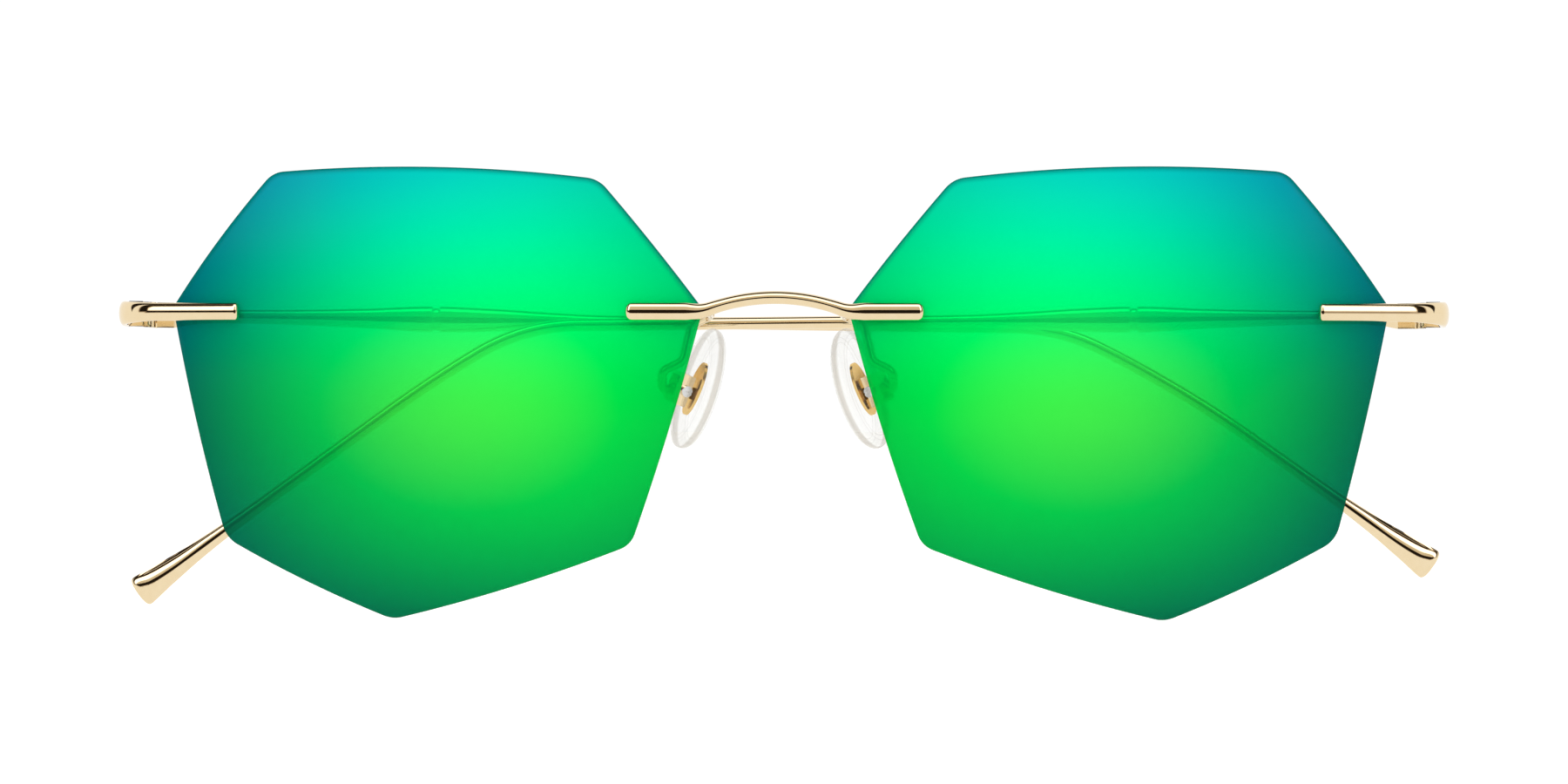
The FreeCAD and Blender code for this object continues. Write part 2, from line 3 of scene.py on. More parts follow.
import bpy
import numpy as np
from mathutils import Matrix, Vector


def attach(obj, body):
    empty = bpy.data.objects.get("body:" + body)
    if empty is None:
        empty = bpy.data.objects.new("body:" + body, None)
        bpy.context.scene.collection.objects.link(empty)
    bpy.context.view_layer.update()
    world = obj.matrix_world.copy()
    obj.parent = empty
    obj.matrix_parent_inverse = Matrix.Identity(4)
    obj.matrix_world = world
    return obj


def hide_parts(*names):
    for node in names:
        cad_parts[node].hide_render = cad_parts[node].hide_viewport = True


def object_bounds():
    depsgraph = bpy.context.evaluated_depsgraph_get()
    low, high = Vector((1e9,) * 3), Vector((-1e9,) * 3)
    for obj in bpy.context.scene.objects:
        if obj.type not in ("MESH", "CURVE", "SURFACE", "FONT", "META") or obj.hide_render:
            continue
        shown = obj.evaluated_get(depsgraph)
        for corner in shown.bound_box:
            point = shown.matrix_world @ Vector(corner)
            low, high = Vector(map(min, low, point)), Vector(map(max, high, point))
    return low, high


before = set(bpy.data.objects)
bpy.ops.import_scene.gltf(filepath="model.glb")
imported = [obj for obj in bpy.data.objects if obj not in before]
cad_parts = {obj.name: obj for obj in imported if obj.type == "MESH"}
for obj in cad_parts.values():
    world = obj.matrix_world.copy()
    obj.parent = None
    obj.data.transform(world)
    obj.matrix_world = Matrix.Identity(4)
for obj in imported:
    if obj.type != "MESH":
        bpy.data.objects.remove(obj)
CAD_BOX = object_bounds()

# Rimless sunglasses, folded. Lengths below are millimetres unless a name says otherwise.
# +X is the wearer's left, +Y runs from the lenses to the face, +Z is up; zero is the nose saddle.
MM = 0.001
SIDES = {"left": 1.0, "right": -1.0}
X_AXIS = np.array([1.0, 0.0, 0.0])
Y_AXIS = np.array([0.0, 1.0, 0.0])
Z_AXIS = np.array([0.0, 0.0, 1.0])

# the plane of the lens apexes and the height of the bars, seen from the nose saddle
FRONT_Y = -8.0
BAR_Z = 8.0

# lens
LENS_RADIUS = 131.0
LENS_THICKNESS = 2.0
LENS_APEX_X = 25.0
# corner of the sharp outline (x, z above the bars), its rounding, and the bow of the side after it
LENS_OUTLINE = [
    ((7.8, 0.3), 1.0, 0.17),
    ((19.0, 14.2), 3.4, 0.91),
    ((54.4, 15.0), 3.0, 0.35),
    ((65.5, 0.5), 1.0, 0.24),
    ((59.8, -24.4), 3.5, 0.37),
    ((41.5, -33.1), 3.6, 0.49),
    ((15.6, -25.0), 2.8, 0.33),
]
LENS_MIDDLE = (36.5, -9.0)
# inset and depth of the rings that round the lens edge, from the front face to the back face
RIM_PROFILE = [
    (0.9, 0.0), (0.7, 0.0), (0.5, 0.0), (0.32, 0.012), (0.2, 0.05), (0.1, 0.12), (0.03, 0.22),
    (0.0, 0.36), (0.0, 1.0), (0.0, 1.7), (0.04, 1.84), (0.12, 1.94), (0.25, 2.0), (0.5, 2.0),
]
RIM_FRONT_RINGS = 7
# painted shade along the upper edges of the lens: how far in from the edge it fades, how soon it is full
# as the edge runs level, and how it fades
RIM_SHADE_WIDTH = 0.75
RIM_SHADE_REACH = 1.6
RIM_SHADE_POWER = 1.5
# the face rings: an inset that lies inside the shaded rim, and the scale of the smallest ring
FACE_INSET = 2.0
FACE_MIDDLE_SHARE = 0.04

# bars on the lenses
BAR_HEIGHT = 1.95
BAR_DEPTH = 1.2
BAR_LENS_GAP = 0.03
BAR_FULLNESS = 2.2
BRIDGE_END_ROUND = 0.8
ENDPIECE_END_ROUND = 0.5
ENDPIECE_END_FULLNESS = 3.0
BRIDGE_MOUNT_X = 12.2
BRIDGE_END_X = 16.0
BRIDGE_SPAN_HALF = 8.7
BRIDGE_RISE = 1.52
BRIDGE_CROWN_RADIUS = 20.8
BRIDGE_WIRE = 1.4
# distance from the middle, depth, height
BRIDGE_STATIONS = [
    (0.0, BRIDGE_WIRE, BRIDGE_WIRE),
    (5.5, BRIDGE_WIRE, BRIDGE_WIRE),
    (6.8, 1.38, 1.46),
    (7.8, 1.34, 1.6),
    (8.7, 1.26, 1.75),
    (9.8, BAR_DEPTH, BAR_HEIGHT),
    (16.5, BAR_DEPTH, BAR_HEIGHT),
]
# distance from the middle, and how square the section is: 2 is an ellipse
BRIDGE_FULLNESS = [(0.0, 2.0), (5.5, 2.0), (9.8, BAR_FULLNESS), (16.0, BAR_FULLNESS)]
END_MOUNT_X = 61.6
END_INNER_X = 57.95
END_OUTER_X = 71.4
END_BEND_RADIUS = 5.2
# how much smaller an end piece's last two sections are, and how far past its end they lie
END_SOFTENING = [(0.06, 0.0), (0.2, 0.03)]
PANTOSCOPIC = 1.6
HINGE_LEAN = 0.62
PIN_RADIUS = 0.5
PIN_SPACING = 3.4
PIN_END = 2.86

# temples
HINGE_Y = 15.0
HINGE_TO_TEMPLE = 1.85
HINGE_HEIGHT = 2.75
HINGE_DEPTH = 1.2
BUTT_GAP = 0.05
TEMPLE_LENGTH = {"left": 149.1, "right": 147.9}
TEMPLE_FOLD = {"left": 90.0, "right": 87.0}
EAR_BEND_FROM = {"left": 92.0, "right": 94.6}
# radius and angle of the two arcs of each ear bend
EAR_BENDS = {"left": [(22.0, 30.1), (125.0, 5.3)], "right": [(22.0, 25.7), (125.0, 8.9)]}
COLLAR_AT = 31.2
COLLAR_LENGTH = 0.65
COLLAR_HEIGHT = 2.45
COLLAR_DEPTH = 1.25
WIRE = 1.36
TEMPLE_FULLNESS = 2.3
# the softened edge beside a joint: its length, and the share of the section that it takes
JOINT_SOFTENING = 0.14
JOINT_SOFTENING_SHARE = 0.14
# distance from the hinge, depth, height
TEMPLE_FRONT = [
    (0.05, 1.2, 2.75),
    (2.6, 1.2, 2.7),
    (4.8, 1.15, 1.95),
    (8.0, 1.1, 1.5),
    (14.0, 1.15, 1.62),
    (24.0, 1.35, 2.2),
    (31.2, 1.55, 2.85),
]
TEMPLE_REAR = [
    (31.85, 1.55, 2.85),
    (37.85, 1.48, 2.5),
    (43.85, 1.4, 1.85),
    (49.85, WIRE, 1.42),
    (55.85, WIRE, WIRE),
]
# distance before the end, depth, height
TEMPLE_TIP = [
    (18.0, WIRE, WIRE),
    (13.0, 1.3, 1.48),
    (8.3, 1.22, 1.9),
    (3.5, 1.15, 2.8),
    (0.0, 1.1, 3.55),
]
TIP_END_ROUND = 0.75
TIP_END_FULLNESS = 2.8
# the crease between the two facets inside the tip: distance before the end, height as a share, depth
TIP_CREASE = [
    (16.2, -0.1, 0.0),
    (10.2, -0.2, 0.25),
    (5.5, -0.15, 1.0),
    (1.8, 0.1, 1.0),
    (0.0, 0.6, 1.0),
]
TIP_LOWER_TILT = 0.12
TIP_UPPER_CURVE = 0.15
TIP_CREASE_ONSET = 4

# nose pads
PAD_CENTRE = np.array([9.12, 0.0, -0.1])
PAD_SPLAY = 30.0
PAD_LEAN = 17.0
HOLDER_CENTRE = np.array([8.95, 0.0, -0.89])
HOLDER_LEAN = 22.0
PAD_HALF_HEIGHT = 6.7
PAD_HALF_FRONT = 4.3
PAD_HALF_BACK = 3.6
PAD_CONTACT_X = -1.2
PAD_RECESS_X = 0.44
PAD_RECESS_INSET = 1.8
PAD_MIDDLE_INSET = 3.3
PAD_HAZE_WIDTH = 1.9
# inset from the pad's edge and height through the pad, from the skin side to the arm side
PAD_PROFILE = [
    (0.8, -1.2), (0.55, -1.16), (0.33, -1.05), (0.15, -0.85), (0.04, -0.6), (0.0, -0.35), (0.02, -0.1),
    (0.12, 0.15), (0.32, 0.36), (0.55, 0.48), (0.8, 0.52), (1.05, 0.5), (1.25, 0.46), (1.45, 0.44),
    (PAD_RECESS_INSET, PAD_RECESS_X),
]
BOX_END_X = 3.1
ARM_IN_BOX = 0.2
ARM_RADIUS = 0.5
ARM_ROUTE = [
    (7.2, -7.0, 8.1), (7.2, -3.25, 7.6), (9.3, -2.7, 6.6), (10.2, -2.9, 2.7), (12.4, -3.2, 1.7),
    (12.45, -2.4, -0.6),
]
ARM_BENDS = [1.1, 1.2, 1.2, 1.0, 0.75]

# how finely the meshes follow the shapes: points round a section, and steps along a line
BAR_POINTS = 56
TEMPLE_POINTS = 72
ARM_POINTS = 32
PIN_POINTS = 20
PAD_POINTS = 96
FLOOR_POINTS = 96
END_STEPS = 14
BAR_STEP = 0.15
ENDPIECE_STEP = 0.2
END_BEND_STEPS = 28
BUTT_STEPS = 12
JOINT_STEPS = 12
TEMPLE_STEP = 0.35
SIDE_STEPS = 200
TRIMMED_SIDE_STEPS = 36
CORNER_STEPS = 20
LENS_RINGS = 26
PAD_SKIN_RINGS = 12
PAD_RECESS_RINGS = 8
ARM_BEND_STEPS = 10
ARM_STEPS = 110
NARROWEST_SHARE = 0.02
TANGENT_REACH = 0.05
# an edge is kept sharp where its faces meet at more than this many degrees
METAL_SHARP = 40.0
PAD_SHARP = 50.0
LENS_SHARP = 60.0


# ---------------------------------------------------------------- mesh building


def turn(axis, degrees):
    return np.array(Matrix.Rotation(math.radians(degrees), 3, Vector(axis)))


def round_angles(count):
    """Equal angles once round, in radians."""
    return 2 * math.pi * np.arange(count) / count


def direction(vector):
    return vector / np.linalg.norm(vector)


def line_length(points):
    return np.linalg.norm(np.diff(points, axis=0), axis=1).sum()


def smooth_values(x, stations, column):
    """Cubic through the stations, level where they turn, so that nothing overshoots."""
    xs = np.array([s[0] for s in stations])
    ys = np.array([s[column] for s in stations])
    slopes = np.diff(ys) / np.diff(xs)
    tangents = np.zeros(len(xs))
    for i in range(1, len(xs) - 1):
        before, after = slopes[i - 1], slopes[i]
        if before * after > 0:
            tangents[i] = 2 * before * after / (before + after)
    i = np.clip(np.searchsorted(xs, x) - 1, 0, len(xs) - 2)
    width = xs[i + 1] - xs[i]
    t = np.clip((x - xs[i]) / width, 0, 1)
    rise = ys[i] * (1 + 2 * t) * (1 - t) ** 2 + ys[i + 1] * t * t * (3 - 2 * t)
    lean = tangents[i] * t * (1 - t) ** 2 + tangents[i + 1] * t * t * (t - 1)
    return rise + width * lean


def section_ring(point, along, depth, height, fullness, count):
    """A superellipse square to a path, with its height as near to +Z as the path allows."""
    along = direction(along)
    across = direction(np.cross(along, Z_AXIS))
    up = np.cross(across, along)
    angle = round_angles(count)
    u = np.sign(np.cos(angle)) * np.abs(np.cos(angle)) ** (2 / fullness)
    v = np.sign(np.sin(angle)) * np.abs(np.sin(angle)) ** (2 / fullness)
    return point + np.outer(u * depth / 2, across) + np.outer(v * height / 2, up)


def tube_mesh(rings):
    """Vertices and faces of a closed tube through rings of equal count."""
    count = len(rings[0])
    verts = np.vstack(rings)
    faces = []
    for i in range(len(rings) - 1):
        for j in range(count):
            k = (j + 1) % count
            faces.append((i * count + j, i * count + k, (i + 1) * count + k, (i + 1) * count + j))
    faces.append(tuple(reversed(range(count))))
    faces.append(tuple(range((len(rings) - 1) * count, len(rings) * count)))
    return verts, faces


def new_piece(node, finish, shape, body, material, sharp=METAL_SHARP):
    """A smooth-shaded mesh in metres, riding on its body and standing for its CAD node."""
    name = node + "_" + finish
    verts, faces = shape
    mesh = bpy.data.meshes.new(name)
    mesh.from_pydata([tuple(v) for v in np.asarray(verts) * MM], [], faces)
    mesh.validate()
    piece = bpy.data.objects.new(name, mesh)
    bpy.context.scene.collection.objects.link(piece)
    mesh.shade_smooth()
    mesh.set_sharp_from_angle(angle=math.radians(sharp))
    mesh.materials.append(material)
    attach(piece, body)
    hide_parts(node)
    return piece


def on_side(side, shape):
    """A shape built on the +X side, mirrored if it belongs on the other."""
    if side > 0:
        return shape
    verts, faces = shape
    return np.asarray(verts) * [-1, 1, 1], [tuple(reversed(face)) for face in faces]


def end_share(share):
    """A section's share of its full size, never quite zero."""
    return max(NARROWEST_SHARE, share)


def rounded_end(distance, radius, fullness=2.4):
    """How much of a section is left at a distance from a rounded end."""
    t = np.clip(1 - distance / radius, 0, 1)
    return (1 - t**fullness) ** (1 / fullness)


def end_steps(start, stop, radius, step):
    """Distances along a piece, crowded at its two rounded ends."""
    ease = radius * (1 - np.cos(np.linspace(0, math.pi / 2, END_STEPS)))
    middle = np.linspace(start + radius, stop - radius, max(3, int((stop - start) / step)))
    return np.concatenate([start + ease[:-1], middle, (stop - ease[:-1])[::-1]])


# ---------------------------------------------------------------- lens


def bowed_side(start, end, bow):
    """Points along a side of the outline that stands out by bow at its middle."""
    t = np.linspace(0, 1, SIDE_STEPS)[:, None]
    chord = end - start
    out = direction(np.array([-chord[1], chord[0]]))
    if np.dot(out, (start + end) / 2 - np.array(LENS_MIDDLE)) < 0:
        out = -out
    return start + chord * t + out * bow * (1 - (2 * t - 1) ** 2)


def along_line(points, distances):
    """Points at distances along a dense line of points."""
    steps = np.linalg.norm(np.diff(points, axis=0), axis=1)
    run = np.concatenate([[0], np.cumsum(steps)])
    columns = [np.interp(distances, run, column) for column in points.T]
    return np.column_stack(columns)


def corner_directions(before, after):
    """The direction in which one side arrives at a corner, and in which the next one leaves it."""
    return direction(before[-1] - before[-2]), direction(after[1] - after[0])


def round_corner(before, after, rounding, bend):
    """A cubic that follows a corner's arc, from the end of one trimmed side to the start of the next."""
    into, away = corner_directions(before, after)
    reach = 4 / 3 * math.tan(bend / 4) * rounding
    controls = [before[-1], before[-1] + into * reach, after[0] - away * reach, after[0]]
    t = np.linspace(0, 1, CORNER_STEPS)[:, None]
    weights = [(1 - t) ** 3, 3 * t * (1 - t) ** 2, 3 * t * t * (1 - t), t**3]
    return sum(control * weight for control, weight in zip(controls, weights))


def lens_outline():
    """The outline as (x, z above the bars) points, with bowed sides and rounded corners."""
    corners = [np.array(corner) for corner, _, _ in LENS_OUTLINE]
    roundings = [rounding for _, rounding, _ in LENS_OUTLINE]
    bows = [bow for _, _, bow in LENS_OUTLINE]
    sides = [bowed_side(*ends) for ends in zip(corners, corners[1:] + corners[:1], bows)]
    bends = [math.acos(np.dot(*corner_directions(sides[i - 1], side))) for i, side in enumerate(sides)]
    setbacks = [rounding * math.tan(bend / 2) for rounding, bend in zip(roundings, bends)]
    trimmed = []
    for side, start, end in zip(sides, setbacks, setbacks[1:] + setbacks[:1]):
        distances = np.linspace(start, line_length(side) - end, TRIMMED_SIDE_STEPS)
        trimmed.append(along_line(side, distances))
    points = []
    for i, side in enumerate(trimmed):
        points.extend(round_corner(trimmed[i - 1], side, roundings[i], bends[i])[:-1])
        points.extend(side[:-1])
    return np.array(points)


def inset(outline, distance):
    """The outline moved inwards by a distance, along its own normals."""
    along = np.roll(outline, -1, axis=0) - np.roll(outline, 1, axis=0)
    along /= np.linalg.norm(along, axis=1)[:, None]
    inward = np.column_stack([along[:, 1], -along[:, 0]])
    to_middle = np.array(LENS_MIDDLE) - outline
    inward *= np.sign((inward * to_middle).sum(axis=1))[:, None]
    return outline + inward * distance


def lens_point(x, z, depth):
    """A point at a depth behind the lens front, measured along Y, for the +X lens."""
    front = LENS_RADIUS - np.sqrt(LENS_RADIUS**2 - (x - LENS_APEX_X) ** 2 - z**2)
    return np.column_stack([x, front + depth + FRONT_Y, z + BAR_Z])


def face_rings(inner, scales, depth):
    """Rings of one lens face: the same outline at each scale about the lens middle."""
    middle = np.array(LENS_MIDDLE)
    return [(middle + (inner - middle) * scale, depth, FACE_INSET) for scale in scales]


def lens_rings():
    """The outline, and the rings of a lens from the front middle over the rim to the back middle.

    A ring is an outline, its depth behind the front face and its inset from the edge.
    """
    outline = lens_outline()
    scales = np.linspace(FACE_MIDDLE_SHARE, 1, LENS_RINGS)[:-1]
    front = face_rings(inset(outline, RIM_PROFILE[0][0]), scales, 0.0)
    rim = [(inset(outline, distance), depth, distance) for distance, depth in RIM_PROFILE]
    back = face_rings(inset(outline, RIM_PROFILE[-1][0]), scales[::-1], LENS_THICKNESS)
    return outline, front + rim + back


def lens_mesh():
    """Vertices, faces and painted rim shade of the +X lens, and how many faces belong to its front."""
    outline, rings = lens_rings()
    verts, faces = tube_mesh([lens_point(ring[:, 0], ring[:, 1], depth) for ring, depth, _ in rings])
    # painted shade: darkest where the rim runs level along the top of the lens, fading inwards from the
    # edge
    along = np.roll(outline, -1, axis=0) - np.roll(outline, 1, axis=0)
    upward = np.abs(along[:, 0]) / np.linalg.norm(along, axis=1) * (outline[:, 1] > 0)
    upward = np.clip(upward * RIM_SHADE_REACH, 0, 1)
    fades = np.clip([1 - distance / RIM_SHADE_WIDTH for _, _, distance in rings], 0, 1)
    shade = np.outer(fades**RIM_SHADE_POWER, upward).ravel()
    front_faces = (LENS_RINGS - 1 + RIM_FRONT_RINGS) * len(outline)
    return verts, faces, shade, front_faces


def make_lens(side, coating, backing):
    verts, faces, shade, front_faces = lens_mesh()
    shape = on_side(SIDES[side], (verts, faces))
    piece = new_piece("lens_" + side, "ground", shape, "front_frame", coating, LENS_SHARP)
    front_middle = len(faces) - 2
    mesh = piece.data
    mesh.materials.append(backing)
    for index, polygon in enumerate(mesh.polygons):
        on_front = index < front_faces or index == front_middle
        polygon.material_index = 0 if on_front else 1
    layer = mesh.attributes.new("rim_shade", "FLOAT", "POINT")
    layer.data.foreach_set("value", shade.astype(np.float32))


# ---------------------------------------------------------------- bars and wires


def lens_mount(mount_x):
    """Middle of a drilled pair on the lens front, and the direction along the lens there."""
    slope = math.asin((mount_x - LENS_APEX_X) / LENS_RADIUS)
    y = LENS_RADIUS * (1 - math.cos(slope)) + FRONT_Y
    return np.array([mount_x, y, BAR_Z]), np.array([math.cos(slope), math.sin(slope), 0.0])


def bar_centre(mount_x, x):
    """Middle of a bar that lies on the lens front, at a given x."""
    spot, along = lens_mount(mount_x)
    into = np.array([-along[1], along[0], 0.0])
    start = spot - into * (BAR_LENS_GAP + BAR_DEPTH / 2)
    return start + along * ((x - start[0]) / along[0]), along


def bridge_height(x):
    """How far the bridge wire arches above the bars: a crown arc that meets a foot arc on each side."""
    half_turn = 2 * math.atan(BRIDGE_RISE / BRIDGE_SPAN_HALF)
    foot_radius = BRIDGE_SPAN_HALF / math.sin(half_turn) - BRIDGE_CROWN_RADIUS
    x = abs(x)
    if x >= BRIDGE_SPAN_HALF:
        return 0.0
    if x <= BRIDGE_CROWN_RADIUS * math.sin(half_turn):
        return BRIDGE_RISE - BRIDGE_CROWN_RADIUS + math.sqrt(BRIDGE_CROWN_RADIUS**2 - x**2)
    return foot_radius - math.sqrt(foot_radius**2 - (BRIDGE_SPAN_HALF - x) ** 2)


def bridge_point(x):
    """Middle of the bridge bar at a given x, easing forwards from the two lenses to the middle."""
    foot, along = bar_centre(BRIDGE_MOUNT_X, BRIDGE_SPAN_HALF)
    if abs(x) >= BRIDGE_SPAN_HALF:
        point, _ = bar_centre(BRIDGE_MOUNT_X, abs(x))
        return np.array([x, point[1], BAR_Z])
    slope = along[1] / along[0]
    y = foot[1] - slope * (BRIDGE_SPAN_HALF**2 - x**2) / (2 * BRIDGE_SPAN_HALF)
    return np.array([x, y, BAR_Z + bridge_height(x)])


def with_pins(shape, mount_x, sides):
    """Adds the two pins that run from a bar through the lens to just behind the sleeves."""
    verts, faces = shape
    spot, along = lens_mount(mount_x)
    into = np.array([-along[1], along[0], 0.0])
    angle = round_angles(PIN_POINTS)
    circle = PIN_RADIUS * (np.outer(np.cos(angle), along) + np.outer(np.sin(angle), Z_AXIS))
    for side in sides:
        for offset in (-PIN_SPACING / 2, PIN_SPACING / 2):
            ends = [spot + along * offset + into * depth + circle for depth in (PIN_END, -BAR_DEPTH / 2)]
            pin_verts, pin_faces = on_side(side, tube_mesh(ends))
            faces = faces + [tuple(i + len(verts) for i in face) for face in pin_faces]
            verts = np.vstack([verts, pin_verts])
    return verts, faces


def make_bridge(material):
    rings = []
    for x in end_steps(-BRIDGE_END_X, BRIDGE_END_X, BRIDGE_END_ROUND, BAR_STEP):
        shrink = end_share(rounded_end(BRIDGE_END_X - abs(x), BRIDGE_END_ROUND))
        depth = smooth_values(abs(x), BRIDGE_STATIONS, 1) * shrink
        height = smooth_values(abs(x), BRIDGE_STATIONS, 2) * shrink
        fullness = smooth_values(abs(x), BRIDGE_FULLNESS, 1)
        along = bridge_point(x + TANGENT_REACH) - bridge_point(x - TANGENT_REACH)
        rings.append(section_ring(bridge_point(x), along, depth, height, fullness, BAR_POINTS))
    shape = with_pins(tube_mesh(rings), BRIDGE_MOUNT_X, (1, -1))
    new_piece("bridge_bar", "polished", shape, "front_frame", material)


def end_bend():
    """Centre of an end piece's bend seen from above, the angle at which it starts, and where."""
    inner, along = bar_centre(END_MOUNT_X, END_INNER_X)
    start_angle = math.atan2(along[1], along[0])
    centre_x = END_OUTER_X - END_BEND_RADIUS
    start_x = centre_x + END_BEND_RADIUS * math.sin(start_angle)
    start_y = inner[1] + (start_x - inner[0]) * along[1] / along[0]
    centre_y = start_y + END_BEND_RADIUS * math.cos(start_angle)
    return np.array([centre_x, centre_y]), start_angle, np.array([start_x, start_y])


def hinge_place():
    """Origin of the hinge on the +X side and the turn that leans it back."""
    _, _, start = end_bend()
    drop = (HINGE_Y + FRONT_Y - start[1]) * math.tan(math.radians(PANTOSCOPIC))
    origin = np.array([END_OUTER_X - HINGE_TO_TEMPLE, HINGE_Y + FRONT_Y, BAR_Z - drop])
    return origin, turn(X_AXIS, -PANTOSCOPIC) @ turn(Y_AXIS, -HINGE_LEAN)


def endpiece_path():
    """Points, directions and sections along an end piece, from the lens to the hinge."""
    centre, start_angle, start = end_bend()
    fall = math.tan(math.radians(PANTOSCOPIC))
    path = []
    straight = end_steps(END_INNER_X, start[0] + ENDPIECE_END_ROUND, ENDPIECE_END_ROUND, ENDPIECE_STEP)
    for x in straight[:-END_STEPS]:
        point, along = bar_centre(END_MOUNT_X, x)
        shrink = end_share(rounded_end(x - END_INNER_X, ENDPIECE_END_ROUND, ENDPIECE_END_FULLNESS))
        path.append((point, along, BAR_DEPTH * shrink, BAR_HEIGHT * shrink))
    for share in np.arange(1, END_BEND_STEPS + 1) / END_BEND_STEPS:
        angle = start_angle + (math.pi / 2 - start_angle) * share
        x = centre[0] + END_BEND_RADIUS * math.sin(angle)
        y = centre[1] - END_BEND_RADIUS * math.cos(angle)
        along = np.array([math.cos(angle), math.sin(angle), -fall * math.sin(angle)])
        height = BAR_HEIGHT + (HINGE_HEIGHT - BAR_HEIGHT) * share
        path.append((np.array([x, y, BAR_Z - fall * (y - start[1])]), along, BAR_DEPTH, height))
    last, along, _, _ = path[-1]
    origin, lean = hinge_place()
    butt = origin + lean @ np.array([HINGE_TO_TEMPLE, -BUTT_GAP, 0.0])
    for share in np.linspace(0, 1, BUTT_STEPS)[1:]:
        path.append((last * (1 - share) + butt * share, along, HINGE_DEPTH, HINGE_HEIGHT))
    return path


def make_endpiece(side, material):
    path = endpiece_path()
    point, along, depth, height = path[-1]
    for less, further in END_SOFTENING:
        path.append((point + along * further, along, depth - less, height - less))
    rings = [section_ring(*section, BAR_FULLNESS, BAR_POINTS) for section in path]
    shape = on_side(SIDES[side], with_pins(tube_mesh(rings), END_MOUNT_X, (1,)))
    new_piece("endpiece_" + side, "polished", shape, "front_frame", material)


def temple_path(side, distance):
    """Point and direction on the open temple's middle line, in the hinge's own frame."""
    straight = min(distance, EAR_BEND_FROM[side])
    point = np.array([HINGE_TO_TEMPLE, straight, 0.0])
    turned = 0.0
    left_over = distance - straight
    for radius, angle in EAR_BENDS[side]:
        end = turned + min(left_over / radius, math.radians(angle))
        forward = radius * (math.sin(end) - math.sin(turned))
        fall = radius * (math.cos(turned) - math.cos(end))
        point = point + np.array([0.0, forward, -fall])
        left_over -= radius * (end - turned)
        turned = end
    along = np.array([0.0, math.cos(turned), -math.sin(turned)])
    return point + along * left_over, along


def before_end(stations, side):
    """Stations given as distances before the end of a temple, as distances from its hinge."""
    return [(TEMPLE_LENGTH[side] - distance, *values) for distance, *values in stations]


def crease_tip(ring, point, along, crease_at, strength):
    """Presses two facets into the inner side of a tip section, either side of a crease."""
    up = np.cross(X_AXIS, along)
    level = (ring - point) @ up
    inner = np.clip((point[0] - ring[:, 0]) * TIP_CREASE_ONSET / WIRE, 0, 1)
    below = np.maximum(crease_at - level, 0) * TIP_LOWER_TILT
    above = np.maximum(level - crease_at, 0) ** 2 * TIP_UPPER_CURVE
    return ring + np.outer(strength * inner * (below + above), X_AXIS)


def temple_rings(side, distances, stations, shrink):
    """Sections of a temple in the folded pose, each reduced by its share in shrink."""
    origin, lean = hinge_place()
    folded = lean @ turn(Z_AXIS, TEMPLE_FOLD[side])
    crease = before_end(TIP_CREASE, side)
    rings = []
    for distance, scale in zip(distances, shrink):
        point, along = temple_path(side, distance)
        depth = smooth_values(distance, stations, 1) * end_share(scale)
        height = smooth_values(distance, stations, 2) * end_share(scale)
        ring = section_ring(point, along, depth, height, TEMPLE_FULLNESS, TEMPLE_POINTS)
        if distance > crease[0][0]:
            crease_at = smooth_values(distance, crease, 1) * height / 2
            ring = crease_tip(ring, point, along, crease_at, smooth_values(distance, crease, 2))
        rings.append(origin + ring @ folded.T)
    return rings


def soft_edge(distance, radius):
    """How much of a section is left beside a joint, where the edge is only softened."""
    return 1 - JOINT_SOFTENING_SHARE * np.clip(1 - distance / radius, 0, 1) ** 2


def temple_piece(side, node, start, stop, stations, material):
    """One section of a temple, with distances crowded at its two ends."""
    has_tip = node == "temple_rear"
    last_round = TIP_END_ROUND if has_tip else JOINT_SOFTENING
    ease = 1 - np.cos(np.linspace(0, math.pi / 2, JOINT_STEPS))
    near = start + JOINT_SOFTENING * ease
    far = stop - last_round * ease
    inside = np.linspace(near[-1], far[-1], max(4, int((stop - start) / TEMPLE_STEP)))[1:-1]
    distances = np.concatenate([near, inside, far[::-1]])
    to_end = stop - distances
    shrink = soft_edge(distances - start, JOINT_SOFTENING)
    if has_tip:
        shrink *= rounded_end(to_end, last_round, TIP_END_FULLNESS)
    else:
        shrink *= soft_edge(to_end, last_round)
    shape = on_side(SIDES[side], tube_mesh(temple_rings(side, distances, stations, shrink)))
    new_piece(f"{node}_{side}", "polished", shape, "temple_" + side, material)


def make_temple(side, material):
    collar_end = COLLAR_AT + COLLAR_LENGTH
    collar = [(0, COLLAR_DEPTH, COLLAR_HEIGHT), (TEMPLE_LENGTH[side], COLLAR_DEPTH, COLLAR_HEIGHT)]
    rear = TEMPLE_REAR + before_end(TEMPLE_TIP, side)
    temple_piece(side, "temple_front", BUTT_GAP, COLLAR_AT, TEMPLE_FRONT, material)
    temple_piece(side, "temple_collar", COLLAR_AT, collar_end, collar, material)
    temple_piece(side, "temple_rear", collar_end, TEMPLE_LENGTH[side], rear, material)


# ---------------------------------------------------------------- nose pads and their arms


def leaned(points, centre, lean):
    """From the frame of a pad or its holder: splayed open towards the face, top leaned to the nose."""
    return centre + np.asarray(points) @ (turn(Y_AXIS, -lean) @ turn(Z_AXIS, -PAD_SPLAY)).T


def pad_ring(distance, x):
    """One outline of a pad, a distance in from its edge; the half towards the lens is the longer."""
    angle = round_angles(PAD_POINTS)
    reach = np.where(np.sin(angle) < 0, PAD_HALF_FRONT, PAD_HALF_BACK) - distance
    y = reach * np.sin(angle)
    z = (PAD_HALF_HEIGHT - distance) * np.cos(angle)
    return np.column_stack([np.full(PAD_POINTS, x), y, z])


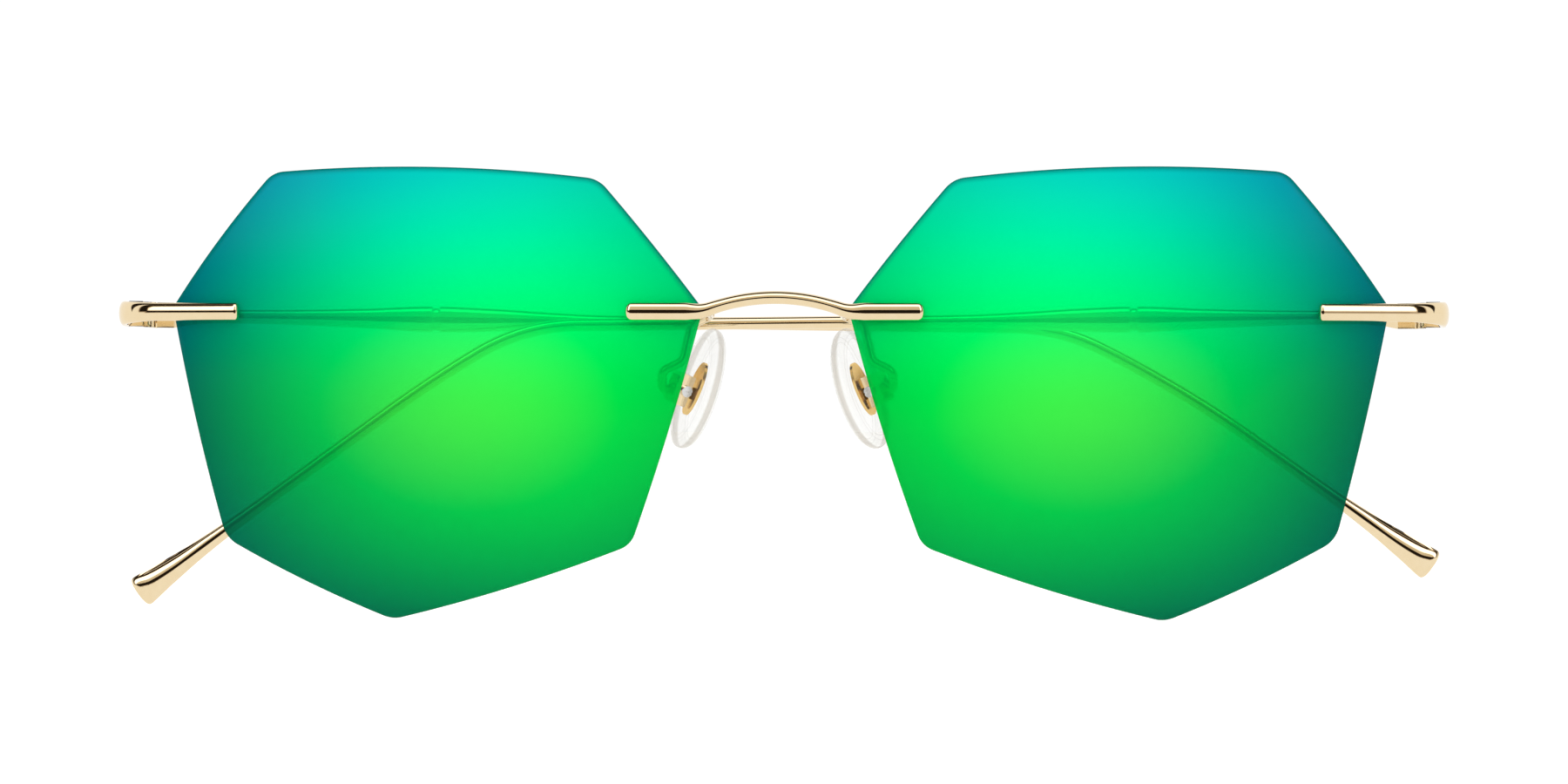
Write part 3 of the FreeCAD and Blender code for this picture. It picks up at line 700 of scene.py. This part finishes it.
def make_pad(side, material):
    """A clear pad; the thick edge looks milky, so each point carries how near to the edge it is."""
    skin_insets = np.linspace(PAD_MIDDLE_INSET, PAD_PROFILE[0][0], PAD_SKIN_RINGS)[:-1]
    recess_insets = np.linspace(PAD_RECESS_INSET, PAD_MIDDLE_INSET, PAD_RECESS_RINGS)[1:]
    profile = [(distance, PAD_CONTACT_X) for distance in skin_insets]
    profile += PAD_PROFILE
    profile += [(distance, PAD_RECESS_X) for distance in recess_insets]
    shape = tube_mesh([leaned(pad_ring(d, x), PAD_CENTRE, PAD_LEAN) for d, x in profile])
    shape = on_side(SIDES[side], shape)
    node = "nose_pad_" + side
    piece = new_piece(node, "moulded", shape, node, material, PAD_SHARP)
    layer = piece.data.attributes.new("edge_haze", "FLOAT", "POINT")
    haze = np.repeat([np.clip(1 - d / PAD_HAZE_WIDTH, 0, 1) for d, _ in profile], PAD_POINTS)
    layer.data.foreach_set("value", haze.astype(np.float32))


def bent_path(points, radii):
    """Dense points along straight runs joined by tangent arcs."""
    line = [points[0]]
    for i, radius in enumerate(radii, start=1):
        before = direction(points[i - 1] - points[i])
        after = direction(points[i + 1] - points[i])
        half = math.acos(np.dot(before, after)) / 2
        centre = points[i] + direction(before + after) * radius / math.sin(half)
        first = points[i] + before * radius / math.tan(half) - centre
        last = points[i] + after * radius / math.tan(half) - centre
        swing = math.pi - 2 * half
        for t in np.linspace(0, 1, ARM_BEND_STEPS):
            spoke = (math.sin((1 - t) * swing) * first + math.sin(t * swing) * last) / math.sin(swing)
            line.append(centre + spoke)
    line.append(points[-1])
    dense = np.array(line)
    return along_line(dense, np.linspace(0, line_length(dense), ARM_STEPS))


def round_wire(line, radius):
    """Rings of a round wire along a line, with sections that don't twist."""
    rings = []
    side = np.cross(line[1] - line[0], X_AXIS)
    angle = round_angles(ARM_POINTS)
    for i, point in enumerate(line):
        along = direction(line[min(i + 1, len(line) - 1)] - line[max(i - 1, 0)])
        side = direction(side - along * np.dot(side, along))
        other = np.cross(along, side)
        rings.append(point + radius * (np.outer(np.cos(angle), side) + np.outer(np.sin(angle), other)))
    return rings


def make_pad_arm(side, material):
    """The wire from the bridge bar round the lens edge into the pad box."""
    entry = leaned([(BOX_END_X - ARM_IN_BOX, 0.0, 0.0)], HOLDER_CENTRE, HOLDER_LEAN)[0]
    route = [np.array(p) for p in ARM_ROUTE] + [entry]
    wire = tube_mesh(round_wire(bent_path(route, ARM_BENDS), ARM_RADIUS))
    new_piece("pad_arm_" + side, "wire", on_side(SIDES[side], wire), "front_frame", material)


# ---------------------------------------------------------------- materials


class Tree:
    """Adds nodes to a node tree and wires them up as they are made."""

    def __init__(self, owner):
        owner.use_nodes = True
        self.tree = owner.node_tree
        self.tree.nodes.clear()

    def add(self, kind, inputs=None, **settings):
        node = self.tree.nodes.new(kind)
        for key, value in settings.items():
            setattr(node, key, value)
        for key, value in (inputs or {}).items():
            if isinstance(value, bpy.types.NodeSocket):
                self.tree.links.new(value, node.inputs[key])
            else:
                node.inputs[key].default_value = value
        return node

    def maths(self, operation, *values, clamp=False):
        inputs = dict(enumerate(values))
        return self.add("ShaderNodeMath", inputs, operation=operation, use_clamp=clamp).outputs[0]

    def times(self, *values):
        """The product of two or more values."""
        product = values[0]
        for value in values[1:]:
            product = self.maths("MULTIPLY", product, value)
        return product

    def part(self, factor, low, high):
        """A value that goes from low to high as the factor goes from 0 to 1."""
        return self.maths("MULTIPLY_ADD", factor, high - low, low)

    def offset(self, value, place, reach):
        """How far a value is past a place, as a share of a reach."""
        return self.times(self.maths("SUBTRACT", value, place), 1 / reach)

    def squared(self, value):
        return self.times(value, value)

    def rise(self, value, low, high):
        """0 below low, 1 above high and a smooth step between."""
        inputs = {"Value": value, "From Min": low, "From Max": high}
        return self.add("ShaderNodeMapRange", inputs, interpolation_type="SMOOTHSTEP").outputs["Result"]

    def band(self, value, low, high, soft):
        """1 between low and high, with soft edges."""
        above = self.rise(value, low - soft, low + soft)
        below = self.rise(value, high + soft, high - soft)
        return self.times(above, below)

    def place(self):
        """The point on the piece, in the frame shared by all pieces at rest."""
        return self.add("ShaderNodeTexCoord").outputs["Object"]

    def noise(self, scale, detail=2.0):
        inputs = {"Vector": self.place(), "Scale": scale, "Detail": detail}
        return self.add("ShaderNodeTexNoise", inputs).outputs["Fac"]

    def spread(self, value, low, high):
        """A noise value stretched to run between low and high."""
        inputs = {"Value": value, "From Min": 0.25, "From Max": 0.75, "To Min": low, "To Max": high}
        return self.add("ShaderNodeMapRange", inputs).outputs["Result"]

    def drift(self, scale):
        """A slow wander between 0 and 1 over the surface."""
        return self.spread(self.noise(scale), 0.0, 1.0)

    def blend_colours(self, factor, first, second):
        node = self.add("ShaderNodeMix", None, data_type="RGBA")
        for key, value in (("Factor", factor), ("A", first), ("B", second)):
            sockets = [s for s in node.inputs if s.name == key and s.enabled]
            if isinstance(value, bpy.types.NodeSocket):
                self.tree.links.new(value, sockets[-1])
            else:
                sockets[-1].default_value = value
        return [s for s in node.outputs if s.enabled][0]

    def attribute(self, name):
        return self.add("ShaderNodeAttribute", None, attribute_name=name).outputs["Fac"]

    def see_through(self, clearness, solid, tint):
        """A surface that lets through a share of the light, with a tint and without bending it."""
        window = self.add("ShaderNodeBsdfTransparent", {"Color": tint}).outputs[0]
        return self.add("ShaderNodeMixShader", {0: clearness, 1: solid, 2: window}).outputs[0]

    def bump(self, height, strength, distance):
        inputs = {"Height": height, "Strength": strength, "Distance": distance}
        return self.add("ShaderNodeBump", inputs).outputs["Normal"]

    def principled(self, inputs):
        return self.add("ShaderNodeBsdfPrincipled", inputs).outputs[0]

    def finish(self, shader):
        self.add("ShaderNodeOutputMaterial", {"Surface": shader})


def new_material(name):
    material = bpy.data.materials.new(name)
    return material, Tree(material)


WHITE = (1.0, 1.0, 1.0, 1.0)
BLACK = (0.0, 0.0, 0.0, 1.0)

# how fine the drift of tone on a metal is, and how much finer its burnishing marks and polish are
METAL_SCALE = 900.0
STEEL_SCALE = 1500.0
MARKS_FINER = 7
POLISH_FINER = 2.5


def metal(name, light, dark, smooth, worn, scale=METAL_SCALE):
    """A polished metal: faint drift of tone and polish, and very fine burnishing marks."""
    material, t = new_material(name)
    marks = t.noise(scale * MARKS_FINER, 4.0)
    inputs = {
        "Base Color": t.blend_colours(t.drift(scale), light, dark),
        "Metallic": 1.0,
        "Roughness": t.spread(t.noise(scale * POLISH_FINER, 3.0), smooth, worn),
        "Normal": t.bump(marks, 0.05, 0.00001),
    }
    t.finish(t.principled(inputs))
    return material


# the coating's green with a painted reflection laid on it: places are (distance from the middle line,
# height above the nose saddle), and strengths are display values from 0 to 1
GLOW_AT = (29.1, 7.4)
GLOW_FALL_SIDEWAYS = 4.6e-4
GLOW_FALL_UP = 6.6e-4
GLOW_FALL_DOWN = 5.0e-4
BLUE_LOW = 0.304
BLUE_HIGH = 0.78
BLUE_FROM = -4.3
BLUE_TO = 25.8
BLUE_AT = 36.2
BLUE_FALL_SIDEWAYS = 3.6e-4
BLUE_TILT = 0.0008
WARM_AT = (33.0, -2.4)
WARM_REACH = (16.4, 11.2)
WARM_EDGE_POWER = 0.6
WARM_STRENGTH = 0.26
DISPLAY_GAMMA = 2.2

# the coating and the plastic behind it: how much light passes, and what the eye sees of the rest
LENS_CLEARNESS = 0.42
CLEARER_FROM_INSIDE = 0.5
BACKING_CLEARNESS = 0.93
COATING_DIMMING = 0.23
# the colour of the painted shade on the upper rim of the lens
RIM_SHADE_TONE = (0.0, 0.16, 0.13, 1.0)
INSIDE_TONE = (0.02, 0.035, 0.03, 1.0)

SLEEVE_TONE = (0.97, 0.98, 0.98, 1.0)
SLEEVE_WARM_TONE = (0.97, 0.97, 0.955, 1.0)

# a pad's clearness, and the thin brownish lines of painted reflection where its thick edge shows what
# lies around it
PAD_MIDDLE_CLEARNESS = 0.92
PAD_EDGE_CLEARNESS = 0.78
PAD_WAVINESS = 0.08
PAD_REFLECTED_LINES = [(0.30, 0.33), (0.60, 0.62)]
PAD_REFLECTED_LINE_SOFTNESS = 0.02
PAD_EDGE_REFLECTED_LINE = (0.93, 0.99)
PAD_REFLECTED_LINE_DEPTH = 0.26
PAD_REFLECTED_LINE_TONE = (0.42, 0.36, 0.28, 1.0)


def coating_and_reflection_green(t, u, z):
    """A painted glow: brightest at one place of the lens, and falling off as the square of the distance
    from it.
    """
    aside = t.squared(t.maths("SUBTRACT", u, GLOW_AT[0]))
    up = t.squared(t.maths("MAXIMUM", t.maths("SUBTRACT", z, GLOW_AT[1]), 0.0))
    down = t.squared(t.maths("MAXIMUM", t.maths("SUBTRACT", GLOW_AT[1], z), 0.0))
    across = t.maths("MULTIPLY_ADD", aside, -GLOW_FALL_SIDEWAYS, 1.0)
    along = t.maths("MULTIPLY_ADD", up, -GLOW_FALL_UP, 1.0)
    along = t.maths("MULTIPLY_ADD", down, -GLOW_FALL_DOWN, along)
    return t.maths("MULTIPLY", across, along, clamp=True)


def coating_and_reflection_blue(t, u, z):
    """Stronger towards the top, where it also falls off sideways; stronger outwards at the bottom."""
    high = t.rise(z, BLUE_FROM, BLUE_TO)
    aside = t.maths("SUBTRACT", u, BLUE_AT)
    fall = t.times(t.squared(aside), t.times(high, -BLUE_FALL_SIDEWAYS))
    tilt = t.times(aside, t.part(high, BLUE_TILT, 0.0))
    return t.maths("MULTIPLY_ADD", t.part(high, BLUE_LOW, BLUE_HIGH), t.maths("ADD", fall, 1.0), tilt)


def coating_and_reflection_red(t, u, z):
    """A warm oval at the middle of the lens, part of the painted reflection."""
    aside = t.squared(t.offset(u, WARM_AT[0], WARM_REACH[0]))
    above = t.squared(t.offset(z, WARM_AT[1], WARM_REACH[1]))
    inside = t.maths("SUBTRACT", 1.0, t.maths("ADD", aside, above), clamp=True)
    return t.times(t.maths("POWER", inside, WARM_EDGE_POWER), WARM_STRENGTH)


def coating_and_reflection_colour(t):
    """The coating's green with a painted reflection on it: blue-green at the top, yellow-green in the
    middle, teal at the outer edges; and painted shade on the upper rim.
    """
    split = t.add("ShaderNodeSeparateXYZ", {"Vector": t.place()})
    u = t.times(t.maths("ABSOLUTE", split.outputs["X"]), 1 / MM)
    z = t.times(split.outputs["Z"], 1 / MM)
    channels = {
        "Red": coating_and_reflection_red(t, u, z),
        "Green": coating_and_reflection_green(t, u, z),
        "Blue": coating_and_reflection_blue(t, u, z),
    }
    shown = t.add("ShaderNodeCombineColor", channels).outputs[0]
    linear = t.add("ShaderNodeGamma", {"Color": shown, "Gamma": DISPLAY_GAMMA}).outputs[0]
    return t.blend_colours(t.attribute("rim_shade"), linear, RIM_SHADE_TONE)


def lens_coating():
    """The front of a lens: a coloured mirror that lets some light in, and more of it out again. Its
    colour holds a painted reflection.
    """
    material, t = new_material("mirror coating and painted reflection")
    colour = coating_and_reflection_colour(t)
    dimmed = t.blend_colours(COATING_DIMMING, colour, BLACK)
    inner_side = t.add("ShaderNodeNewGeometry").outputs["Backfacing"]
    inputs = {
        "Base Color": t.blend_colours(inner_side, dimmed, INSIDE_TONE),
        "Metallic": 0.0,
        "Roughness": t.spread(t.noise(300.0, 3.0), 0.26, 0.34),
        "Specular IOR Level": 0.0,
        "Coat Weight": 0.12,
        "Coat Roughness": 0.02,
        "Coat IOR": 1.5,
    }
    seen = t.add("ShaderNodeLightPath").outputs["Is Camera Ray"]
    outwards = t.times(inner_side, t.maths("SUBTRACT", 1.0, seen))
    clearness = t.maths("MULTIPLY_ADD", outwards, CLEARER_FROM_INSIDE, LENS_CLEARNESS)
    t.finish(t.see_through(clearness, t.principled(inputs), t.blend_colours(outwards, colour, WHITE)))
    return material


def lens_backing():
    """The ground edge and the inside of a lens: glossy, faintly grey-green tinted plastic."""
    material, t = new_material("tinted plastic")
    inputs = {
        "Base Color": t.blend_colours(t.drift(400.0), (0.02, 0.10, 0.07, 1.0), (0.025, 0.12, 0.085, 1.0)),
        "Roughness": t.spread(t.noise(700.0), 0.05, 0.09),
        "IOR": 1.55,
    }
    t.finish(t.see_through(BACKING_CLEARNESS, t.principled(inputs), WHITE))
    return material


def sleeve_material():
    """Clear nylon that bends light, with a faint drift of tone and a slightly uneven surface."""
    material, t = new_material("clear sleeve")
    inputs = {
        "Base Color": t.blend_colours(t.drift(500.0), SLEEVE_TONE, SLEEVE_WARM_TONE),
        "Roughness": t.spread(t.noise(350.0, 3.0), 0.05, 0.08),
        "Transmission Weight": 1.0,
        "IOR": 1.5,
        "Normal": t.bump(t.noise(450.0, 1.0), 0.12, 0.0001),
    }
    t.finish(t.principled(inputs))
    return material


def pad_material():
    """Clear soft plastic: nearly invisible in the middle, whitish and glossy towards the thick edge, with
    thin lines of painted reflection near and along the edge.
    """
    material, t = new_material("clear pad")
    haze = t.attribute("edge_haze")
    wavy = t.maths("ADD", haze, t.part(t.noise(260.0, 2.0), -PAD_WAVINESS, PAD_WAVINESS))
    # painted reflection: thin brownish lines near the pad's edge and along it, also less clear
    inner_reflected_lines = [t.band(wavy, low, high, PAD_REFLECTED_LINE_SOFTNESS) for low, high in PAD_REFLECTED_LINES]
    reflected_lines = t.maths("MAXIMUM", t.maths("MAXIMUM", *inner_reflected_lines), t.rise(haze, *PAD_EDGE_REFLECTED_LINE))
    milky = t.blend_colours(t.drift(500.0), (0.80, 0.81, 0.80, 1.0), (0.88, 0.88, 0.86, 1.0))
    inputs = {
        "Base Color": t.blend_colours(reflected_lines, milky, PAD_REFLECTED_LINE_TONE),
        "Roughness": t.spread(t.noise(350.0, 3.0), 0.04, 0.08),
        "IOR": 1.45,
        "Normal": t.bump(t.noise(450.0, 1.0), 0.12, 0.0001),
    }
    clearness = t.part(t.rise(haze, 0.0, 0.8), PAD_MIDDLE_CLEARNESS, PAD_EDGE_CLEARNESS)
    clearness = t.maths("MULTIPLY_ADD", reflected_lines, -PAD_REFLECTED_LINE_DEPTH, clearness)
    t.finish(t.see_through(clearness, t.principled(inputs), (0.99, 0.99, 0.985, 1.0)))
    return material


def nylon_material():
    """Matt off-white nylon for the hinge washers."""
    material, t = new_material("nylon")
    tone = t.blend_colours(t.noise(1500.0), (0.74, 0.72, 0.65, 1.0), (0.82, 0.80, 0.74, 1.0))
    t.finish(t.principled({"Base Color": tone, "Roughness": t.spread(t.noise(2500.0), 0.4, 0.55)}))
    return material


def dress_cad_nodes(finishes):
    """Gives each CAD node the finish of its kind; a later entry overrides an earlier one."""
    for name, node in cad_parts.items():
        for start, material in finishes.items():
            if name.startswith(start):
                node.data.materials.clear()
                node.data.materials.append(material)


# ---------------------------------------------------------------- studio

# The tent as polished metal sees it. Angles are degrees: up from the horizon, aside from straight ahead
# (minus is the -X side), or over the top from straight ahead. A pair is where a fade starts and ends.
AHEAD_FADE = (30.0, 18.0)
# lower and upper end of the dark gap, each at the sides and straight ahead
GAP_FROM = (-4.0, -9.5)
GAP_TO = (6.0, 10.5)
GAP_EDGE = 2.0
GAP_REACH = (60.0, 48.0)
GAP_DEEP_WITHIN = (40.0, 18.0)
GAP_DEEP_BEYOND = (-15.0, -25.0)
GAP_SHALLOW = 0.45
# dark flags: from, to and softness
OVERHEAD_FLAG = (79.0, 112.0, 3.0)
SIDE_FLAG_ASIDE = (47.0, 70.0, 3.0)
SIDE_FLAG_HEIGHT = (0.0, 62.0, 3.0)
# lower end of the softboxes, at the sides and straight ahead
BOXES_FROM = (8.0, 40.0)
BOXES_LOWER_EDGE = (-4.0, 8.0)
BOXES_TO = (66.0, 60.0)
BOXES_REACH = (52.0, 44.0)
BOXES_GLOW = 1.3
LOW_WALL_FROM = (0.0, 6.0)
LOW_WALL_EDGE = (4.0, -4.0)
LOW_WALL_DIMMING = 0.3
LOW_WALL_WARMTH = 0.5
LOW_WALL_TONE = (1.0, 0.8, 0.5, 1.0)
DARKNESS = 0.985
DARK_TONE = (1.0, 0.72, 0.5, 1.0)
BACKDROP_GLOW = 1.05


def tent_dark(t, height, over, azimuth, aside, ahead):
    """The dark gap between the table and the softboxes, and the dark flags overhead and at each side."""
    above_table = t.rise(t.maths("SUBTRACT", height, t.part(ahead, *GAP_FROM)), -GAP_EDGE, GAP_EDGE)
    below_boxes = t.rise(t.maths("SUBTRACT", height, t.part(ahead, *GAP_TO)), GAP_EDGE, -GAP_EDGE)
    deep = t.maths("MAXIMUM", t.rise(aside, *GAP_DEEP_WITHIN), t.rise(azimuth, *GAP_DEEP_BEYOND))
    gap = t.times(above_table, below_boxes, t.part(deep, GAP_SHALLOW, 1.0), t.rise(aside, *GAP_REACH))
    side_flags = t.times(t.band(aside, *SIDE_FLAG_ASIDE), t.band(height, *SIDE_FLAG_HEIGHT))
    return t.maths("MAXIMUM", gap, t.maths("MAXIMUM", t.band(over, *OVERHEAD_FLAG), side_flags))


def studio_world():
    """A white tent. Seen only in reflections, dark gaps and flags lie around the table and softboxes."""
    world = bpy.data.worlds.new("studio")
    bpy.context.scene.world = world
    t = Tree(world)
    way = t.add("ShaderNodeSeparateXYZ", {"Vector": t.add("ShaderNodeTexCoord").outputs["Generated"]})
    x, y, z = way.outputs
    forward = t.times(y, -1.0)
    degrees = 180 / math.pi
    height = t.times(t.maths("ARCSINE", z), degrees)
    over = t.times(t.maths("ARCTAN2", z, forward), degrees)
    azimuth = t.times(t.maths("ARCTAN2", x, forward), degrees)
    aside = t.maths("ABSOLUTE", azimuth)
    ahead = t.rise(aside, *AHEAD_FADE)
    dark = tent_dark(t, height, over, azimuth, aside, ahead)
    above_boxes_edge = t.maths("SUBTRACT", height, t.part(ahead, *BOXES_FROM))
    box_height = t.times(t.rise(above_boxes_edge, *BOXES_LOWER_EDGE), t.rise(height, *BOXES_TO))
    softboxes = t.times(t.rise(aside, *BOXES_REACH), box_height)
    low_wall = t.times(t.rise(height, *LOW_WALL_FROM), t.rise(above_boxes_edge, *LOW_WALL_EDGE), ahead)
    lit = t.maths("MULTIPLY_ADD", softboxes, BOXES_GLOW, 1.0)
    light = t.maths("MULTIPLY_ADD", low_wall, -LOW_WALL_DIMMING, lit)
    light = t.times(light, t.part(dark, 1.0, 1.0 - DARKNESS))
    tone = t.blend_colours(t.times(low_wall, LOW_WALL_WARMTH), WHITE, LOW_WALL_TONE)
    tone = t.blend_colours(dark, tone, DARK_TONE)
    tent = t.add("ShaderNodeBackground", {"Color": tone, "Strength": light}).outputs[0]
    backdrop = t.add("ShaderNodeBackground", {"Color": WHITE, "Strength": BACKDROP_GLOW}).outputs[0]
    seen = t.add("ShaderNodeLightPath").outputs["Is Camera Ray"]
    surface = t.add("ShaderNodeMixShader", {0: seen, 1: tent, 2: backdrop}).outputs[0]
    t.add("ShaderNodeOutputWorld", {"Surface": surface})


# name, place in metres and power in watts of the two square lamps
LAMPS = [("key", (-0.5, -0.6, 1.1), 4.5), ("fill", (0.7, -0.5, 0.9), 2.5)]
LAMP_SIZE = 0.9


def studio_lamps():
    """Two soft lamps above the front, aimed at the nose saddle and kept out of reflections."""
    for name, place, power in LAMPS:
        light = bpy.data.lights.new(name, "AREA")
        light.shape = "RECTANGLE"
        light.size = LAMP_SIZE
        light.size_y = LAMP_SIZE
        light.energy = power
        lamp = bpy.data.objects.new(name, light)
        lamp.location = place
        lamp.rotation_euler = (-Vector(place)).to_track_quat("-Z", "Y").to_euler()
        lamp.visible_camera = False
        lamp.visible_glossy = False
        bpy.context.scene.collection.objects.link(lamp)


# floor, in metres
FLOOR_REACH = 4.0
FLOOR_GLOW = 0.32
FLOOR_TONE = (0.90, 0.90, 0.895, 1.0)
FLOOR_LIGHT_TONE = (0.92, 0.92, 0.915, 1.0)


def studio_floor():
    """A plain pale table top, under the lowest point of the lenses."""
    level = CAD_BOX[0][2]
    angles = round_angles(FLOOR_POINTS)
    rim = [(FLOOR_REACH * math.cos(angle), FLOOR_REACH * math.sin(angle), level) for angle in angles]
    faces = [(0, i + 1, (i + 1) % FLOOR_POINTS + 1) for i in range(FLOOR_POINTS)]
    mesh = bpy.data.meshes.new("floor")
    mesh.from_pydata([(0.0, 0.0, level)] + rim, [], faces)
    floor = bpy.data.objects.new("floor", mesh)
    bpy.context.scene.collection.objects.link(floor)
    material, t = new_material("pale table")
    inputs = {
        "Base Color": t.blend_colours(t.noise(6.0), FLOOR_TONE, FLOOR_LIGHT_TONE),
        "Roughness": 0.9,
        "Specular IOR Level": 0.0,
        "Emission Color": WHITE,
        "Emission Strength": FLOOR_GLOW,
    }
    t.finish(t.principled(inputs))
    mesh.materials.append(material)
    floor.visible_glossy = False


CAMERA_AIM = np.array([0.942, -7.0, -0.57])
CAMERA_DISTANCE = 847.98
CAMERA_YAW = 3.385
CAMERA_ROLL = -0.08
CAMERA_LENS = 182.3
CAMERA_SENSOR = 36.0


def studio_camera():
    """A long lens, level with the glasses and a little to the wearer's left of straight ahead."""
    data = bpy.data.cameras.new("camera")
    data.sensor_width = CAMERA_SENSOR
    data.lens = CAMERA_LENS
    data.clip_start = 0.05
    data.clip_end = 20.0
    camera = bpy.data.objects.new("camera", data)
    yaw = math.radians(CAMERA_YAW)
    place = CAMERA_AIM + CAMERA_DISTANCE * np.array([math.sin(yaw), -math.cos(yaw), 0.0])
    camera.location = place * MM
    camera.rotation_euler = (math.radians(90.0), math.radians(CAMERA_ROLL), yaw)
    bpy.context.scene.collection.objects.link(camera)
    bpy.context.scene.camera = camera


# ---------------------------------------------------------------- the sunglasses


def build():
    bpy.context.scene.view_settings.view_transform = "Standard"
    gold = metal("pale gold", (0.88, 0.72, 0.47, 1.0), (0.86, 0.69, 0.43, 1.0), 0.04, 0.09)
    bright_gold = metal("yellow gold", (0.86, 0.58, 0.20, 1.0), (0.82, 0.54, 0.17, 1.0), 0.12, 0.2)
    steel = metal("steel", (0.75, 0.75, 0.74, 1.0), (0.68, 0.68, 0.67, 1.0), 0.1, 0.2, STEEL_SCALE)
    coating = lens_coating()
    backing = lens_backing()
    pad_plastic = pad_material()
    sleeve_plastic = sleeve_material()
    nylon = nylon_material()
    dress_cad_nodes({
        "bridge": gold, "endpiece": gold, "hinge": gold, "temple": gold, "pad": gold, "lens": coating,
        "bridge_sleeve": sleeve_plastic, "endpiece_sleeve": sleeve_plastic, "hinge_screw": steel,
        "hinge_washers": nylon, "pad_screw": steel, "pad_insert": bright_gold, "nose_pad": pad_plastic,
    })
    make_bridge(gold)
    for side in SIDES:
        make_lens(side, coating, backing)
        make_endpiece(side, gold)
        make_temple(side, gold)
        make_pad(side, pad_plastic)
        make_pad_arm(side, gold)


studio_camera()
studio_world()
studio_lamps()
studio_floor()
build()
